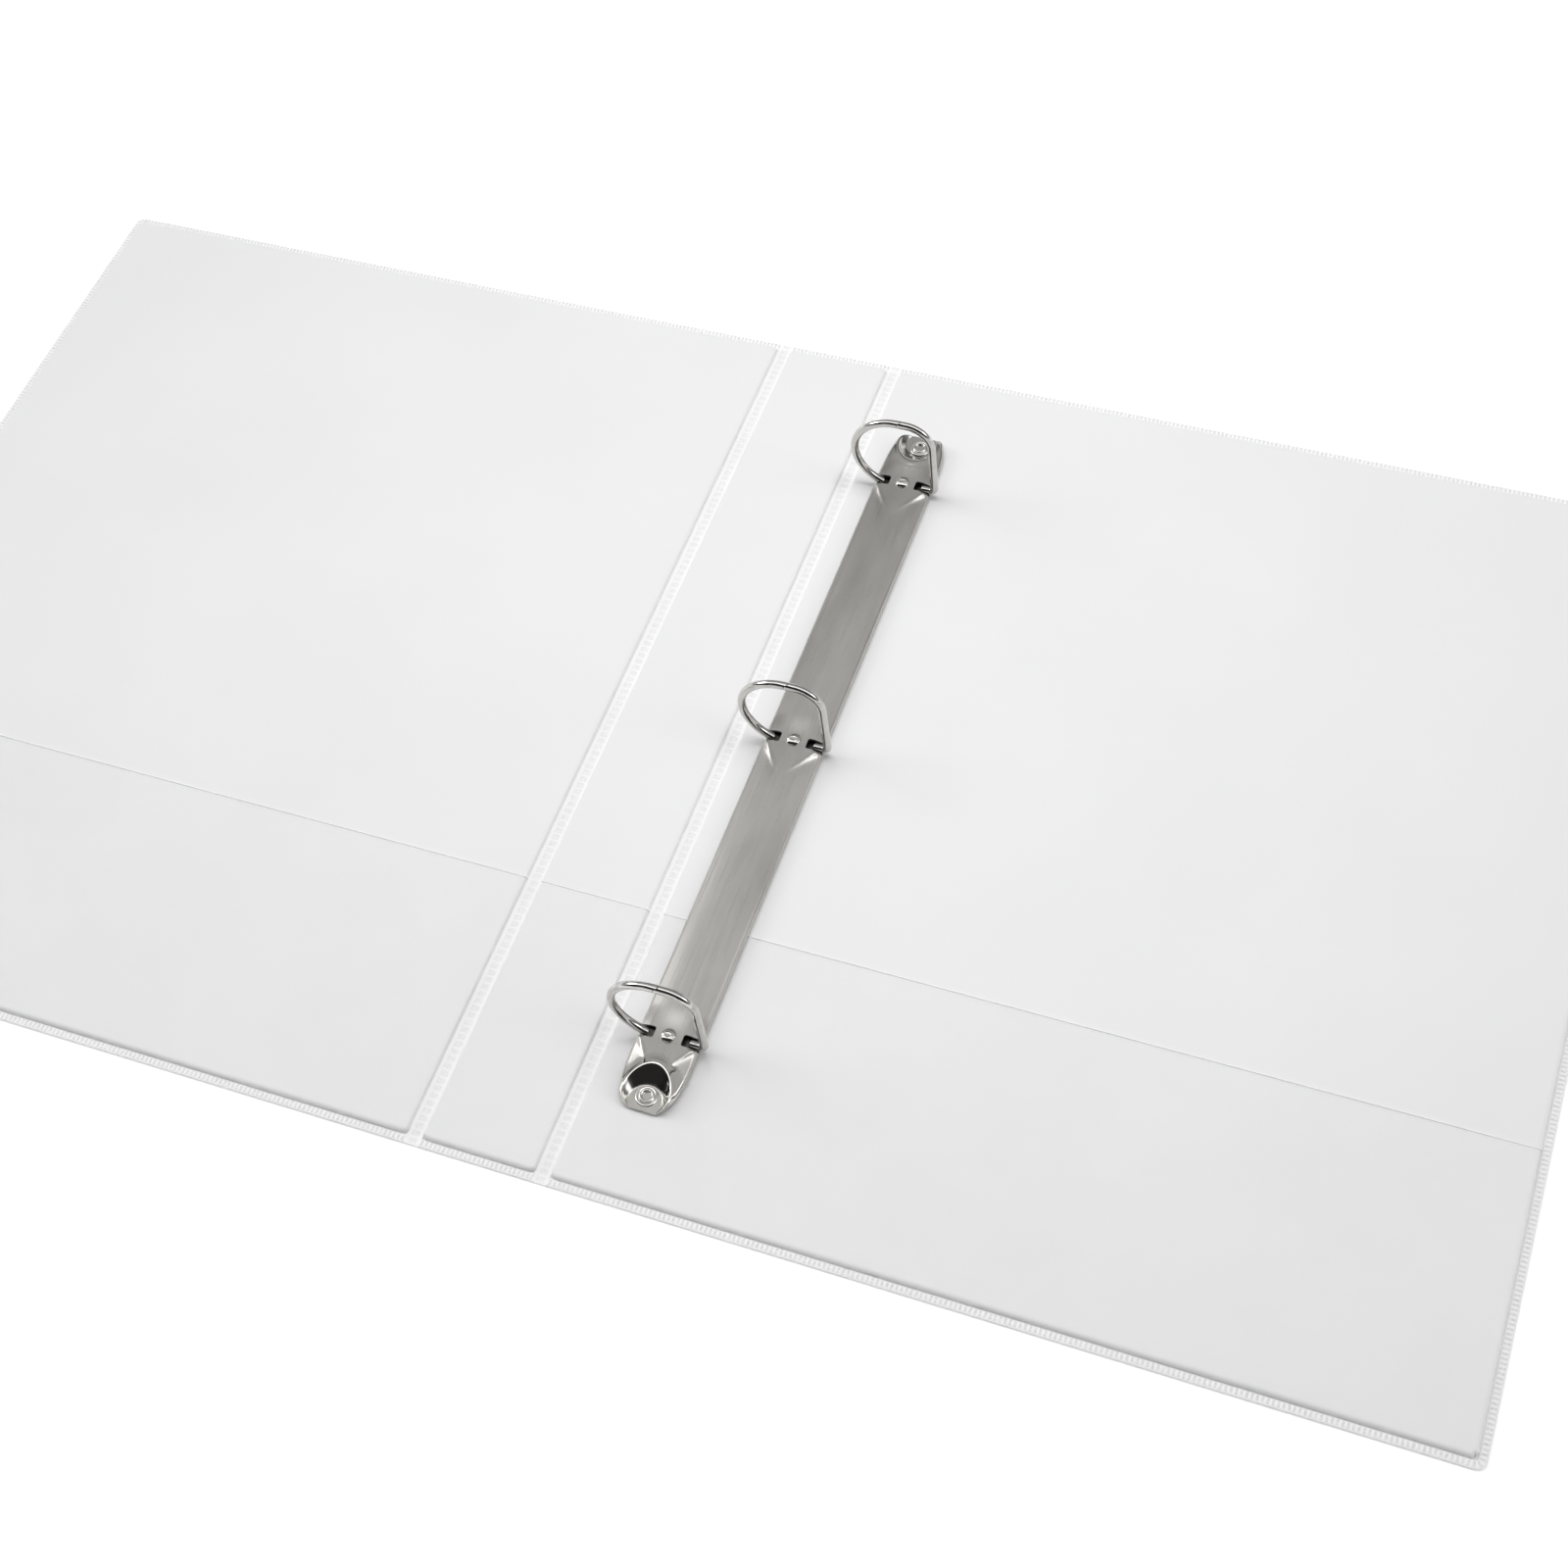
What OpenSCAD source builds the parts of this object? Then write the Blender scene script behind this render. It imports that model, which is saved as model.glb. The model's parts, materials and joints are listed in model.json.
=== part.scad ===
// View ring binder, lying open with its inside up.
// X runs across the binder: front cover at -X, spine at 0, back cover at +X.
// Y runs along the spine, with the head of the binder at +Y. Z is up from the surface it lies on.

/* [Covers] */
// Height of the covers and the spine
cover_h = 322; // [300:1:330]
// Width of one cover, from its hinge line to its outer edge
panel_w = 265.2; // [250:0.1:280]
// Distance between the two hinge lines of the spine
spine_w = 40.6; // [38:0.1:60]
// Width of the welded edge all round
weld_w = 3; // [2:0.5:5]
// Width of each welded hinge strip
hinge_w = 4.8; // [4:0.1:8]
// Radius of the four outer corners
corner_r = 3; // [1:0.5:6]
// Height of the clear inner pockets above the bottom edge
pocket_h = 91.9; // [60:0.1:150]

/* [Film and board] */
// Thickness of the clear view sleeves outside
sleeve_t = 0.18; // [0.1:0.01:0.3]
// Thickness of the white outer sheet
outer_t = 0.22; // [0.15:0.01:0.4]
// Thickness of the stiffening boards
board_t = 1.7; // [1.2:0.1:3]
// Thickness of the white inner sheet
inner_t = 0.22; // [0.15:0.01:0.4]
// Thickness of the clear inner pockets
pocket_t = 0.18; // [0.1:0.01:0.3]
// How far the view sleeves stop short of the head, where they are open
sleeve_gap = 1.5; // [0:0.5:6]

/* [Ring mechanism] */
// Distance from the back hinge line to the centre line of the mechanism
mech_set_back = 20.4; // [19:0.1:30]
// Offset of the mechanism along the spine from mid height
mech_y = -1.1; // [-5:0.1:5]
// Distance between neighbouring rings
ring_pitch = 107.95; // [80:0.01:120]
// Width of the arched housing
housing_w = 19.6; // [19:0.1:20]
// Length of the arched housing
housing_l = 262.4; // [258:0.1:270]
// Height of the housing from its underside to its crown
housing_h = 4.55; // [4.4:0.05:4.8]
// Rise of the arch above its side walls
arch_rise = 2.3; // [2.2:0.1:2.4]
// Thickness of the housing's steel
housing_t = 0.8; // [0.7:0.05:0.8]

/* [Rings] */
// Diameter of the ring wire
wire_d = 2.6; // [2.4:0.1:2.8]
// Radius of the round half of each ring, on the wire's centre line
round_r = 16; // [15:0.5:16]
// Radius of the shoulder of the straight half, on the wire's centre line
shoulder_r = 8.4; // [6:0.1:9]
// Height of the top of each ring above the surface, on the wire's centre line
ring_top = 35.6; // [35:0.1:36]
// Distance of the straight leg from the centre line of the mechanism
leg_out = 11.3; // [11.2:0.1:12]
// Gap left between the two half rings at their joint
joint_gap = 0.12; // [0.1:0.01:0.3]

/* [Leaves] */
// Thickness of the two hinge leaves under the housing
leaf_t = 0.9; // [0.7:0.05:0.9]
// Downward tilt of each leaf with the rings closed
leaf_tilt = 4; // [3:0.5:5]

/* [Rivets] */
// Diameter of a guide rivet's domed head
dome_d = 4.8; // [4:0.1:5.5]
// Rise of a guide rivet's domed head
dome_h = 0.95; // [0.6:0.05:1.2]
// Distance of each mounting rivet from the end of the housing
rivet_from_end = 4.75; // [4.5:0.05:6]
// Outer diameter of the hollow mounting rivet's tube
tube_d = 4; // [3.5:0.1:4]

/* [Hidden] */
$fn = 64;

white_film = [0.94, 0.94, 0.94];
clear_film = [0.88, 0.93, 0.97, 0.35];
grey_board = [0.62, 0.6, 0.56];
nickel = [0.68, 0.67, 0.64];
polished = [0.8, 0.8, 0.8];

big = 400;
eps = 0.02;
half_h = cover_h / 2;
hinge_x = spine_w / 2;
half_hinge = hinge_w / 2;
hinge_gap = 0.1;

// Levels of the layers above the surface
z_outer = sleeve_t;
z_board = z_outer + outer_t;
z_inner = z_board + board_t;
z_pocket = z_inner + inner_t;
z_top = z_pocket + pocket_t;
z_weld = z_board + inner_t;

// Each cover in its own frame starts beside its hinge strip at x = 0 and runs outward
cover_x = hinge_x + half_hinge;
cover_w = panel_w - half_hinge;
board_x0 = 0.25;
board_x1 = cover_w - weld_w - inner_t;
board_y = half_h - weld_w - inner_t;
board_r = 1.5;
spine_half = hinge_x - half_hinge;
pocket_top = pocket_h - half_h;

// Mechanism levels and places, with u measured across from its centre line
mech_x = hinge_x + mech_set_back;
mech_z = z_top + 0.05;
half_w = housing_w / 2;
half_l = housing_l / 2;
crown_z = mech_z + housing_h;
arch_r = (half_w * half_w + arch_rise * arch_rise) / (2 * arch_rise);
arch_z = crown_z - arch_r;
end_r = 7;
lip_w = 1.1;
lip_t = 0.5;
slot_half = 1.85;
slot_end_u = 4.35;
slot_floor_z = 3.4;
seat_r = 3;
seat_z = crown_z + 0.05;
hood_r = 7.6;
hood_foot_r = 5;
tongue_z = mech_z + housing_t;
rivet_y = half_l - rivet_from_end;

wire_r = wire_d / 2;
leaf_r = leaf_t / 2;
pivot_u = half_w - housing_t - leaf_r - 0.15;
pivot_z = mech_z + lip_t + leaf_r + 0.2;
leaf_inner_u = 0.15;
leaf_half_l = half_l - rivet_from_end - hood_r - 3;
round_u = leg_out - shoulder_r - 2.65;
round_z = ring_top - round_r;
round_end = 243;
shoulder_u = leg_out - shoulder_r;
shoulder_z = ring_top - shoulder_r;
hook_r = 2;
hook_z = pivot_z + 1.7;
foot_u = 6.7;
peg_r = 0.9;
round_peg_u = 7.4;
straight_peg_u = 7.3;
joint_u = 0.6;
tongue_len = 1.6;
shank_r = 1.2;
flange_r = 3;
flange_t = 0.4;
bore_r = 1.4;
washer_r = 4;
washer_z = z_board + 0.4;
washer_t = 0.4;

// ---- Covers and spine ----

// Flat plate from x = 0 to w with its two outer corners rounded
module plate(w, y0, y1, z0, z1, r) {
    translate([0, 0, z0]) linear_extrude(z1 - z0) {
        translate([0, y0]) square([w - r, y1 - y0]);
        translate([w - r - 1, y0 + r]) square([r + 1, y1 - y0 - 2 * r]);
        for (y = [y0 + r, y1 - r]) translate([w - r, y]) circle(r);
    }
}

// The same plate placed on one side of the binder: side is -1 for the front, 1 for the back
module on_side(side) {
    mirror([side < 0 ? 1 : 0, 0, 0]) translate([cover_x, 0, 0]) children();
}

// Plate across the spine
module spine_plate(half, y0, y1, z0, z1) {
    translate([-half, y0, z0]) cube([2 * half, y1 - y0, z1 - z0]);
}

// Through holes for the two mounting rivets
module rivet_holes(r, z0, z1) {
    for (s = [-1, 1]) translate([mech_x, mech_y + s * rivet_y, z0]) cylinder(h = z1 - z0, r = r);
}

module cover_board(side) {
    on_side(side) translate([board_x0, 0, 0])
        plate(board_x1 - board_x0, -board_y, board_y, z_board, z_inner, board_r);
}

module cover_outer_sheet(side) {
    on_side(side) plate(cover_w, -half_h, half_h, z_outer, z_board, corner_r);
}

// Inner sheet: a shallow tray over the board, with a flat rim welded to the outer sheet
module cover_inner_sheet(side) {
    on_side(side) difference() {
        union() {
            plate(cover_w, -half_h, half_h, z_board, z_weld, corner_r);
            plate(board_x1 + inner_t, -board_y - inner_t, board_y + inner_t,
                  z_board, z_pocket, board_r + inner_t);
        }
        translate([board_x0, 0, 0])
            plate(board_x1 - board_x0, -board_y, board_y, z_board - 1, z_inner, board_r);
    }
}

module cover_view_sleeve(side) {
    on_side(side) plate(cover_w, -half_h, half_h - sleeve_gap, 0, z_outer, corner_r);
}

module cover_pocket(side) {
    on_side(side) plate(board_x1, -board_y, pocket_top, z_pocket, z_top, board_r);
}

// Half of a welded hinge strip, from the hinge line towards +X or -X
module hinge_half(hinge, towards) {
    x = hinge + towards * (hinge_gap + half_hinge) / 2;
    w = half_hinge - hinge_gap;
    translate([x - w / 2, -half_h, 0]) cube([w, cover_h, z_weld]);
}

module front_board() color(grey_board) cover_board(-1);

module spine_board()
    color(grey_board) spine_plate(spine_half - board_x0, -board_y, board_y, z_board, z_inner);

// The back board is bored for the mounting rivets and countersunk behind for their washers
module back_board() color(grey_board) difference() {
    cover_board(1);
    rivet_holes(tube_d / 2 + 0.1, 0, z_top);
    rivet_holes(washer_r + 0.2, z_board - 1, washer_z + washer_t);
}

module front_outer_sheet() color(white_film) cover_outer_sheet(-1);

module spine_outer_sheet()
    color(white_film) spine_plate(spine_half, -half_h, half_h, z_outer, z_board);

module back_outer_sheet() color(white_film) cover_outer_sheet(1);

module front_inner_sheet() color(white_film) cover_inner_sheet(-1);

module spine_inner_sheet() color(white_film) difference() {
    union() {
        spine_plate(spine_half, -half_h, half_h, z_board, z_weld);
        spine_plate(spine_half, -board_y - inner_t, board_y + inner_t, z_board, z_pocket);
    }
    spine_plate(spine_half - board_x0, -board_y, board_y, z_board - 1, z_inner);
}

module back_inner_sheet() color(white_film) difference() {
    cover_inner_sheet(1);
    rivet_holes(tube_d / 2 + 0.1, z_inner - 1, z_top);
}

module front_view_sleeve() color(clear_film) cover_view_sleeve(-1);

module spine_view_sleeve()
    color(clear_film) spine_plate(spine_half, -half_h, half_h - sleeve_gap, 0, z_outer);

module back_view_sleeve() color(clear_film) cover_view_sleeve(1);

module front_pocket() color(clear_film) cover_pocket(-1);

module spine_pocket()
    color(clear_film) spine_plate(spine_half, -board_y, pocket_top, z_pocket, z_top);

module back_pocket() color(clear_film) difference() {
    cover_pocket(1);
    rivet_holes(tube_d / 2 + 0.1, z_inner, z_top + 1);
}

module front_hinge_cover_half() color(white_film) hinge_half(-hinge_x, -1);
module front_hinge_spine_half() color(white_film) hinge_half(-hinge_x, 1);
module back_hinge_spine_half() color(white_film) hinge_half(hinge_x, -1);
module back_hinge_cover_half() color(white_film) hinge_half(hinge_x, 1);

// ---- Ring mechanism ----

module at_mech(station = 0) {
    translate([mech_x, mech_y + station * ring_pitch, 0]) children();
}

// Bar along Y with a round section of radius r, centred at (u, z)
module y_bar(r, l, u, z) {
    translate([u, l / 2, z]) rotate([90, 0, 0]) cylinder(h = l, r = r, $fn = 128);
}

// Plan of the housing: straight sides and rounded ends
module housing_plan(grow = 0) {
    w = half_w + grow;
    l = half_l + grow;
    square([2 * w, 2 * (l - end_r)], center = true);
    square([2 * (w - end_r), 2 * l], center = true);
    for (sx = [-1, 1], sy = [-1, 1]) translate([sx * (w - end_r), sy * (l - end_r)]) circle(end_r);
}

// Solid under the arch, out to the given distance inside its outer surface
module arch_body(inset) {
    intersection() {
        y_bar(arch_r - inset, 2 * half_l + 2, 0, arch_z);
        translate([0, 0, mech_z]) linear_extrude(crown_z) housing_plan(-inset);
    }
}

module end_hood(grow) {
    translate([0, 0, tongue_z - grow])
        cylinder(h = crown_z - tongue_z + 1 + grow, r1 = hood_foot_r + grow, r2 = hood_r + grow);
}

// Arched housing with curled lips, open ring slots, rivet seats and a sunk tongue at each end
module housing() color(nickel) at_mech() difference() {
    union() {
        difference() {
            arch_body(0);
            translate([0, 0, -eps]) arch_body(housing_t);
        }
        for (s = [-1, 1]) {
            translate([s * (half_w - housing_t / 2 - lip_w / 2), 0, mech_z + lip_t / 2])
                cube([lip_w + housing_t, 2 * leaf_half_l, lip_t], center = true);
            translate([0, s * rivet_y, 0]) intersection() {
                end_hood(housing_t);
                translate([0, -s * rivet_y, 0]) arch_body(0);
            }
        }
        for (k = [-1 : 1]) translate([0, k * ring_pitch, seat_z - housing_t])
            cylinder(h = housing_t, r = seat_r);
    }
    for (s = [-1, 1]) translate([0, s * rivet_y, 0]) {
        end_hood(0);
        translate([0, 0, mech_z - 1]) cylinder(h = 3, r = tube_d / 2 + 0.1);
    }
    for (k = [-1 : 1]) translate([0, k * ring_pitch, 0]) {
        translate([0, 0, mech_z]) cylinder(h = housing_h + 1, r = shank_r + 0.02);
        for (s = [-1, 1]) {
            translate([s * (slot_end_u + slot_half), 0, slot_floor_z])
                cylinder(h = housing_h, r = slot_half);
            translate([s * (slot_end_u + slot_half + half_w) - half_w, -slot_half, slot_floor_z])
                cube([2 * half_w, 2 * slot_half, housing_h]);
        }
    }
}

// Hinge leaf: its rounded outer edge turns in the curl of the housing's side
module leaf(side, peg_u) color(nickel) at_mech() difference() {
    translate([side * pivot_u, 0, pivot_z]) rotate([0, -side * leaf_tilt, 0]) {
        y_bar(leaf_r, 2 * leaf_half_l, 0, 0);
        w = pivot_u - leaf_inner_u;
        translate([-side * w / 2, 0, 0]) cube([w, 2 * leaf_half_l, leaf_t], center = true);
    }
    for (k = [-1 : 1]) translate([0, k * ring_pitch, mech_z - 1]) {
        cylinder(h = housing_h, r = shank_r + 0.7);
        translate([side * peg_u, 0, 0]) cylinder(h = housing_h, r = peg_r + 0.03);
    }
}

module left_leaf() leaf(-1, round_peg_u);
module right_leaf() leaf(1, straight_peg_u);

// Arc of wire in the plane of the ring, from angle a0 through sweep, about (u, z)
module wire_arc(r, a0, sweep, u, z) {
    translate([u, 0, z]) rotate([90, 0, 0]) rotate([0, 0, a0])
        rotate_extrude(angle = sweep) translate([r, 0]) circle(wire_r, $fn = 48);
}

// Straight wire from (u0, z0) to (u1, z1), along u or along z
module wire_run(u0, z0, u1, z1) {
    if (z0 == z1) translate([u0, 0, z0]) rotate([0, 90, 0]) cylinder(h = u1 - u0, r = wire_r, $fn = 48);
    else translate([u0, 0, z0]) cylinder(h = z1 - z0, r = wire_r, $fn = 48);
}

// Staked peg that holds a half ring in its leaf
module peg(u) {
    translate([u, 0, pivot_z - leaf_r - 0.1]) cylinder(h = hook_z - pivot_z + leaf_r, r = peg_r);
}

// Region on one side of the pointed joint at the top of the ring
module joint_side(side, gap) {
    tip = joint_u + tongue_len / 2 + gap;
    back = tip - tongue_len / wire_r * wire_d;
    linear_extrude(ring_top + wire_d)
        polygon([[side * 30, -wire_d], [back, -wire_d], [tip, 0], [back, wire_d], [side * 30, wire_d]]);
}

// Round half ring, towards the spine, with a pointed tongue at its top
module round_half(station) color(polished) at_mech(station) {
    intersection() {
        union() {
            wire_arc(round_r, 90, round_end - 90, round_u, round_z);
            wire_run(round_u, ring_top, joint_u + tongue_len, ring_top);
        }
        joint_side(-1, 0);
    }
    peg(-round_peg_u);
}

// Straight half ring, with a notch at its top, a shoulder, a leg and a hooked foot
module straight_half(station) color(polished) at_mech(station) {
    intersection() {
        union() {
            wire_run(joint_u - tongue_len, ring_top, shoulder_u, ring_top);
            wire_arc(shoulder_r, 0, 90, shoulder_u, shoulder_z);
            wire_run(leg_out, hook_z + hook_r, leg_out, shoulder_z);
            wire_arc(hook_r, 270, 90, leg_out - hook_r, hook_z + hook_r);
            wire_run(foot_u, hook_z, leg_out - hook_r, hook_z);
        }
        joint_side(1, joint_gap);
    }
    peg(straight_peg_u);
}

module left_ring_top() round_half(1);
module left_ring_middle() round_half(0);
module left_ring_bottom() round_half(-1);
module right_ring_top() straight_half(1);
module right_ring_middle() straight_half(0);
module right_ring_bottom() straight_half(-1);

// Domed rivet that guides the inner edges of the leaves
module guide_rivet(station) color(polished) at_mech(station) {
    translate([0, 0, mech_z + 0.3]) cylinder(h = seat_z - mech_z - 0.3, r = shank_r);
    dome_r = dome_d / 2;
    ball_r = (dome_r * dome_r + dome_h * dome_h) / (2 * dome_h);
    intersection() {
        translate([0, 0, seat_z + dome_h - ball_r]) sphere(ball_r, $fn = 96);
        translate([0, 0, seat_z]) cylinder(h = dome_h + 1, r = dome_r + 1);
    }
}

module guide_rivet_top() guide_rivet(1);
module guide_rivet_middle() guide_rivet(0);
module guide_rivet_bottom() guide_rivet(-1);

// Hollow rivet that clamps the housing's tongue to the back cover
module mount_rivet(end) color(polished) at_mech() translate([0, end * rivet_y, 0])
    rotate_extrude() difference() {
        union() {
            translate([bore_r, z_board + 0.02]) square([tube_d / 2 - bore_r, tongue_z + flange_t - z_board - 0.02]);
            translate([bore_r, tongue_z]) square([flange_r - bore_r, flange_t]);
            translate([bore_r, z_board + 0.02]) square([flange_r - bore_r, washer_z - z_board - 0.02]);
        }
    }

module mount_rivet_top() mount_rivet(1);
module mount_rivet_bottom() mount_rivet(-1);

// Flat washer under the rivet's clinched end, inside the back board
module rivet_washer(end) color(nickel) at_mech() translate([0, end * rivet_y, washer_z]) difference() {
    cylinder(h = washer_t, r = washer_r);
    translate([0, 0, -1]) cylinder(h = 3, r = tube_d / 2 + 0.05);
}

module rivet_washer_top() rivet_washer(1);
module rivet_washer_bottom() rivet_washer(-1);

front_board();
spine_board();
back_board();
front_outer_sheet();
spine_outer_sheet();
back_outer_sheet();
front_inner_sheet();
spine_inner_sheet();
back_inner_sheet();
front_view_sleeve();
spine_view_sleeve();
back_view_sleeve();
front_pocket();
spine_pocket();
back_pocket();
front_hinge_cover_half();
front_hinge_spine_half();
back_hinge_spine_half();
back_hinge_cover_half();
housing();
left_leaf();
right_leaf();
left_ring_top();
left_ring_middle();
left_ring_bottom();
right_ring_top();
right_ring_middle();
right_ring_bottom();
guide_rivet_top();
guide_rivet_middle();
guide_rivet_bottom();
mount_rivet_top();
mount_rivet_bottom();
rivet_washer_top();
rivet_washer_bottom();
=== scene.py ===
import json
import math

import bmesh
import bpy
import numpy as np
from mathutils import Matrix, Vector


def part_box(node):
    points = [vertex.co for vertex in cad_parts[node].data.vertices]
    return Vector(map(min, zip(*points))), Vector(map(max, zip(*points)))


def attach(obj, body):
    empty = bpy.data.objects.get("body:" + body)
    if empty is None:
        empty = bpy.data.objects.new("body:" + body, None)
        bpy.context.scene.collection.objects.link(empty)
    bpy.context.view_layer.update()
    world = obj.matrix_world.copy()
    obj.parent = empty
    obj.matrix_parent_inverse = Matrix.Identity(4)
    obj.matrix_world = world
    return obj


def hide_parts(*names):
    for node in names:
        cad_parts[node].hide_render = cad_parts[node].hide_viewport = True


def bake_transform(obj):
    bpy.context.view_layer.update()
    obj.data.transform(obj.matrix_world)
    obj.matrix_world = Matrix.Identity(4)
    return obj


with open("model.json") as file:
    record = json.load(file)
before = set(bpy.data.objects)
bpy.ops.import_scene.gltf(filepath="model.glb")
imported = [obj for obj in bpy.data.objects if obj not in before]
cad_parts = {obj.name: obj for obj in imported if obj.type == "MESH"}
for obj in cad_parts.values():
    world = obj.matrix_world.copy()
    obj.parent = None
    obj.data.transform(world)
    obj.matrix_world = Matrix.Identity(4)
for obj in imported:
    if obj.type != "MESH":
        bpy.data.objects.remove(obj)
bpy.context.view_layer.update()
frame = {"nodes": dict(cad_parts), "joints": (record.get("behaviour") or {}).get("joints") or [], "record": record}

MM = 0.001

# ---- Places and sizes, from the frame ----

SHEET_LO, SHEET_HI = (np.array(c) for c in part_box("back_inner_sheet"))
SPINE_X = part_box("spine_inner_sheet")[1].x
BOARD_LO, BOARD_HI = (np.array(c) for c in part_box("back_board"))
POCKET_LO, POCKET_HI = (np.array(c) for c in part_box("back_pocket"))
STRIP_HI = np.array(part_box("back_hinge_cover_half")[1])
HOUSING_LO, HOUSING_HI = (np.array(c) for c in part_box("housing"))

HALF_H = SHEET_HI[1]
COVER_X = SHEET_LO[0]
OUTER_X = SHEET_HI[0]
HINGE_X = (COVER_X + SPINE_X) / 2
Z_FLANGE = STRIP_HI[2]
Z_SHEET = SHEET_HI[2]
Z_UNDER = SHEET_LO[2]
POCKET_T = POCKET_HI[2] - POCKET_LO[2]
POCKET_TOP_Y = POCKET_HI[1]
WELD_W = OUTER_X - BOARD_HI[0]
CORNER_R = 3 * MM

MECH_X, MECH_Y = ((HOUSING_LO + HOUSING_HI) / 2)[:2]
HALF_W = (HOUSING_HI[0] - HOUSING_LO[0]) / 2
HALF_L = (HOUSING_HI[1] - HOUSING_LO[1]) / 2
BASE_Z = HOUSING_LO[2]
SEAT_Z = HOUSING_HI[2]
CROWN_Z = SEAT_Z - 0.05 * MM
STEEL_T = 0.8 * MM
PLACES = ("top", "middle", "bottom")
RING_Y = [(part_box(f"left_ring_{place}")[0].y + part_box(f"left_ring_{place}")[1].y) / 2 for place in PLACES]
RIVET_Y = [(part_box(f"mount_rivet_{end}")[0].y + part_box(f"mount_rivet_{end}")[1].y) / 2
           for end in ("top", "bottom")]
RING_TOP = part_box("left_ring_middle")[1].z


# ---- Mesh helpers ----

def smoothstep(x):
    """0 below 0 and 1 above 1, with a smooth climb between."""
    x = np.clip(x, 0, 1)
    return x * x * (3 - 2 * x)


def mesh_object(name, verts, faces, material, sharp_deg=40):
    """A new object with smooth faces, and sharp edges where the surface turns by more than sharp_deg."""
    mesh = bpy.data.meshes.new(name)
    mesh.from_pydata([tuple(v) for v in verts], [], [tuple(f) for f in faces])
    mesh.validate()
    mesh.materials.append(material)
    obj = bpy.data.objects.new(name, mesh)
    bpy.context.scene.collection.objects.link(obj)
    shade(obj, sharp_deg)
    return obj


def shade(obj, sharp_deg):
    """Smooth shading with sharp edges by angle, and normals that point outward."""
    bm = bmesh.new()
    bm.from_mesh(obj.data)
    bmesh.ops.recalc_face_normals(bm, faces=bm.faces)
    limit = math.radians(sharp_deg)
    for face in bm.faces:
        face.smooth = True
    for edge in bm.edges:
        edge.smooth = len(edge.link_faces) == 2 and edge.calc_face_angle(0) < limit
    bm.to_mesh(obj.data)
    bm.free()


def grid_faces(rows, cols, first=0, flip=False, wrap_cols=False):
    """Quads over a grid of rows x cols vertices, numbered row by row from first."""
    out = []
    for i in range(rows - 1):
        for j in range(cols if wrap_cols else cols - 1):
            a = first + i * cols + j
            b = first + i * cols + (j + 1) % cols
            c = first + (i + 1) * cols + (j + 1) % cols
            d = first + (i + 1) * cols + j
            out.append((a, d, c, b) if flip else (a, b, c, d))
    return out


def rim_of(rows, cols, first=0):
    """The border vertices of a grid, in order round it."""
    top = [first + j for j in range(cols)]
    right = [first + i * cols + cols - 1 for i in range(1, rows)]
    bottom = [first + (rows - 1) * cols + j for j in range(cols - 2, -1, -1)]
    left = [first + i * cols for i in range(rows - 2, 0, -1)]
    return top + right + bottom + left


def closed_sheet(upper, lower):
    """Vertices and faces of a closed sheet between two grids of the same shape."""
    rows, cols = upper.shape[:2]
    n = rows * cols
    verts = np.concatenate([upper.reshape(-1, 3), lower.reshape(-1, 3)])
    faces = grid_faces(rows, cols) + grid_faces(rows, cols, n, flip=True)
    a, b = rim_of(rows, cols), rim_of(rows, cols, n)
    faces += [(a[i], b[i], b[(i + 1) % len(b)], a[(i + 1) % len(a)]) for i in range(len(a))]
    return verts, faces


def tube(sections, cap=True):
    """Vertices and faces of a tube through closed sections of equal point count."""
    sections = np.array(sections)
    rows, cols = sections.shape[:2]
    faces = grid_faces(rows, cols, wrap_cols=True)
    if cap:
        faces += [tuple(range(cols))[::-1], tuple((rows - 1) * cols + j for j in range(cols))]
    return sections.reshape(-1, 3), faces


def lathe(name, profile, centre, material, segments=64):
    """A turned piece: profile is a list of (radius, height), from the axis out and round to the axis."""
    turns = [2 * math.pi * k / segments for k in range(segments)]
    ring_points = [p for p in profile if p[0] > 0]
    verts = [(centre[0] + r * math.cos(a), centre[1] + r * math.sin(a), centre[2] + h)
             for r, h in ring_points for a in turns]
    faces = grid_faces(len(ring_points), segments, wrap_cols=True)
    for end, row in ((profile[0], 0), (profile[-1], len(ring_points) - 1)):
        if end[0] == 0:
            verts.append((centre[0], centre[1], centre[2] + end[1]))
            first = row * segments
            faces += [(len(verts) - 1, first + (k + 1) % segments, first + k) for k in range(segments)]
    if profile[0][0] > 0:
        last = (len(ring_points) - 1) * segments
        faces += [(last + k, last + (k + 1) % segments, (k + 1) % segments, k) for k in range(segments)]
    return mesh_object(name, verts, faces, material, 50)


def arc_points(centre, radius, start_deg, end_deg, count):
    """Points along an arc, as (a, b) pairs."""
    angles = np.radians(np.linspace(start_deg, end_deg, count))
    return [(centre[0] + radius * math.cos(a), centre[1] + radius * math.sin(a)) for a in angles]


# ---- Materials ----

def new_material(name, color, roughness, metallic=0.0):
    """A new material and its shader, ready for nodes."""
    material = bpy.data.materials.new(name)
    material.use_nodes = True
    shader = material.node_tree.nodes["Principled BSDF"]
    shader.inputs["Base Color"].default_value = (*color, 1)
    shader.inputs["Roughness"].default_value = roughness
    shader.inputs["Metallic"].default_value = metallic
    return material, shader


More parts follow.
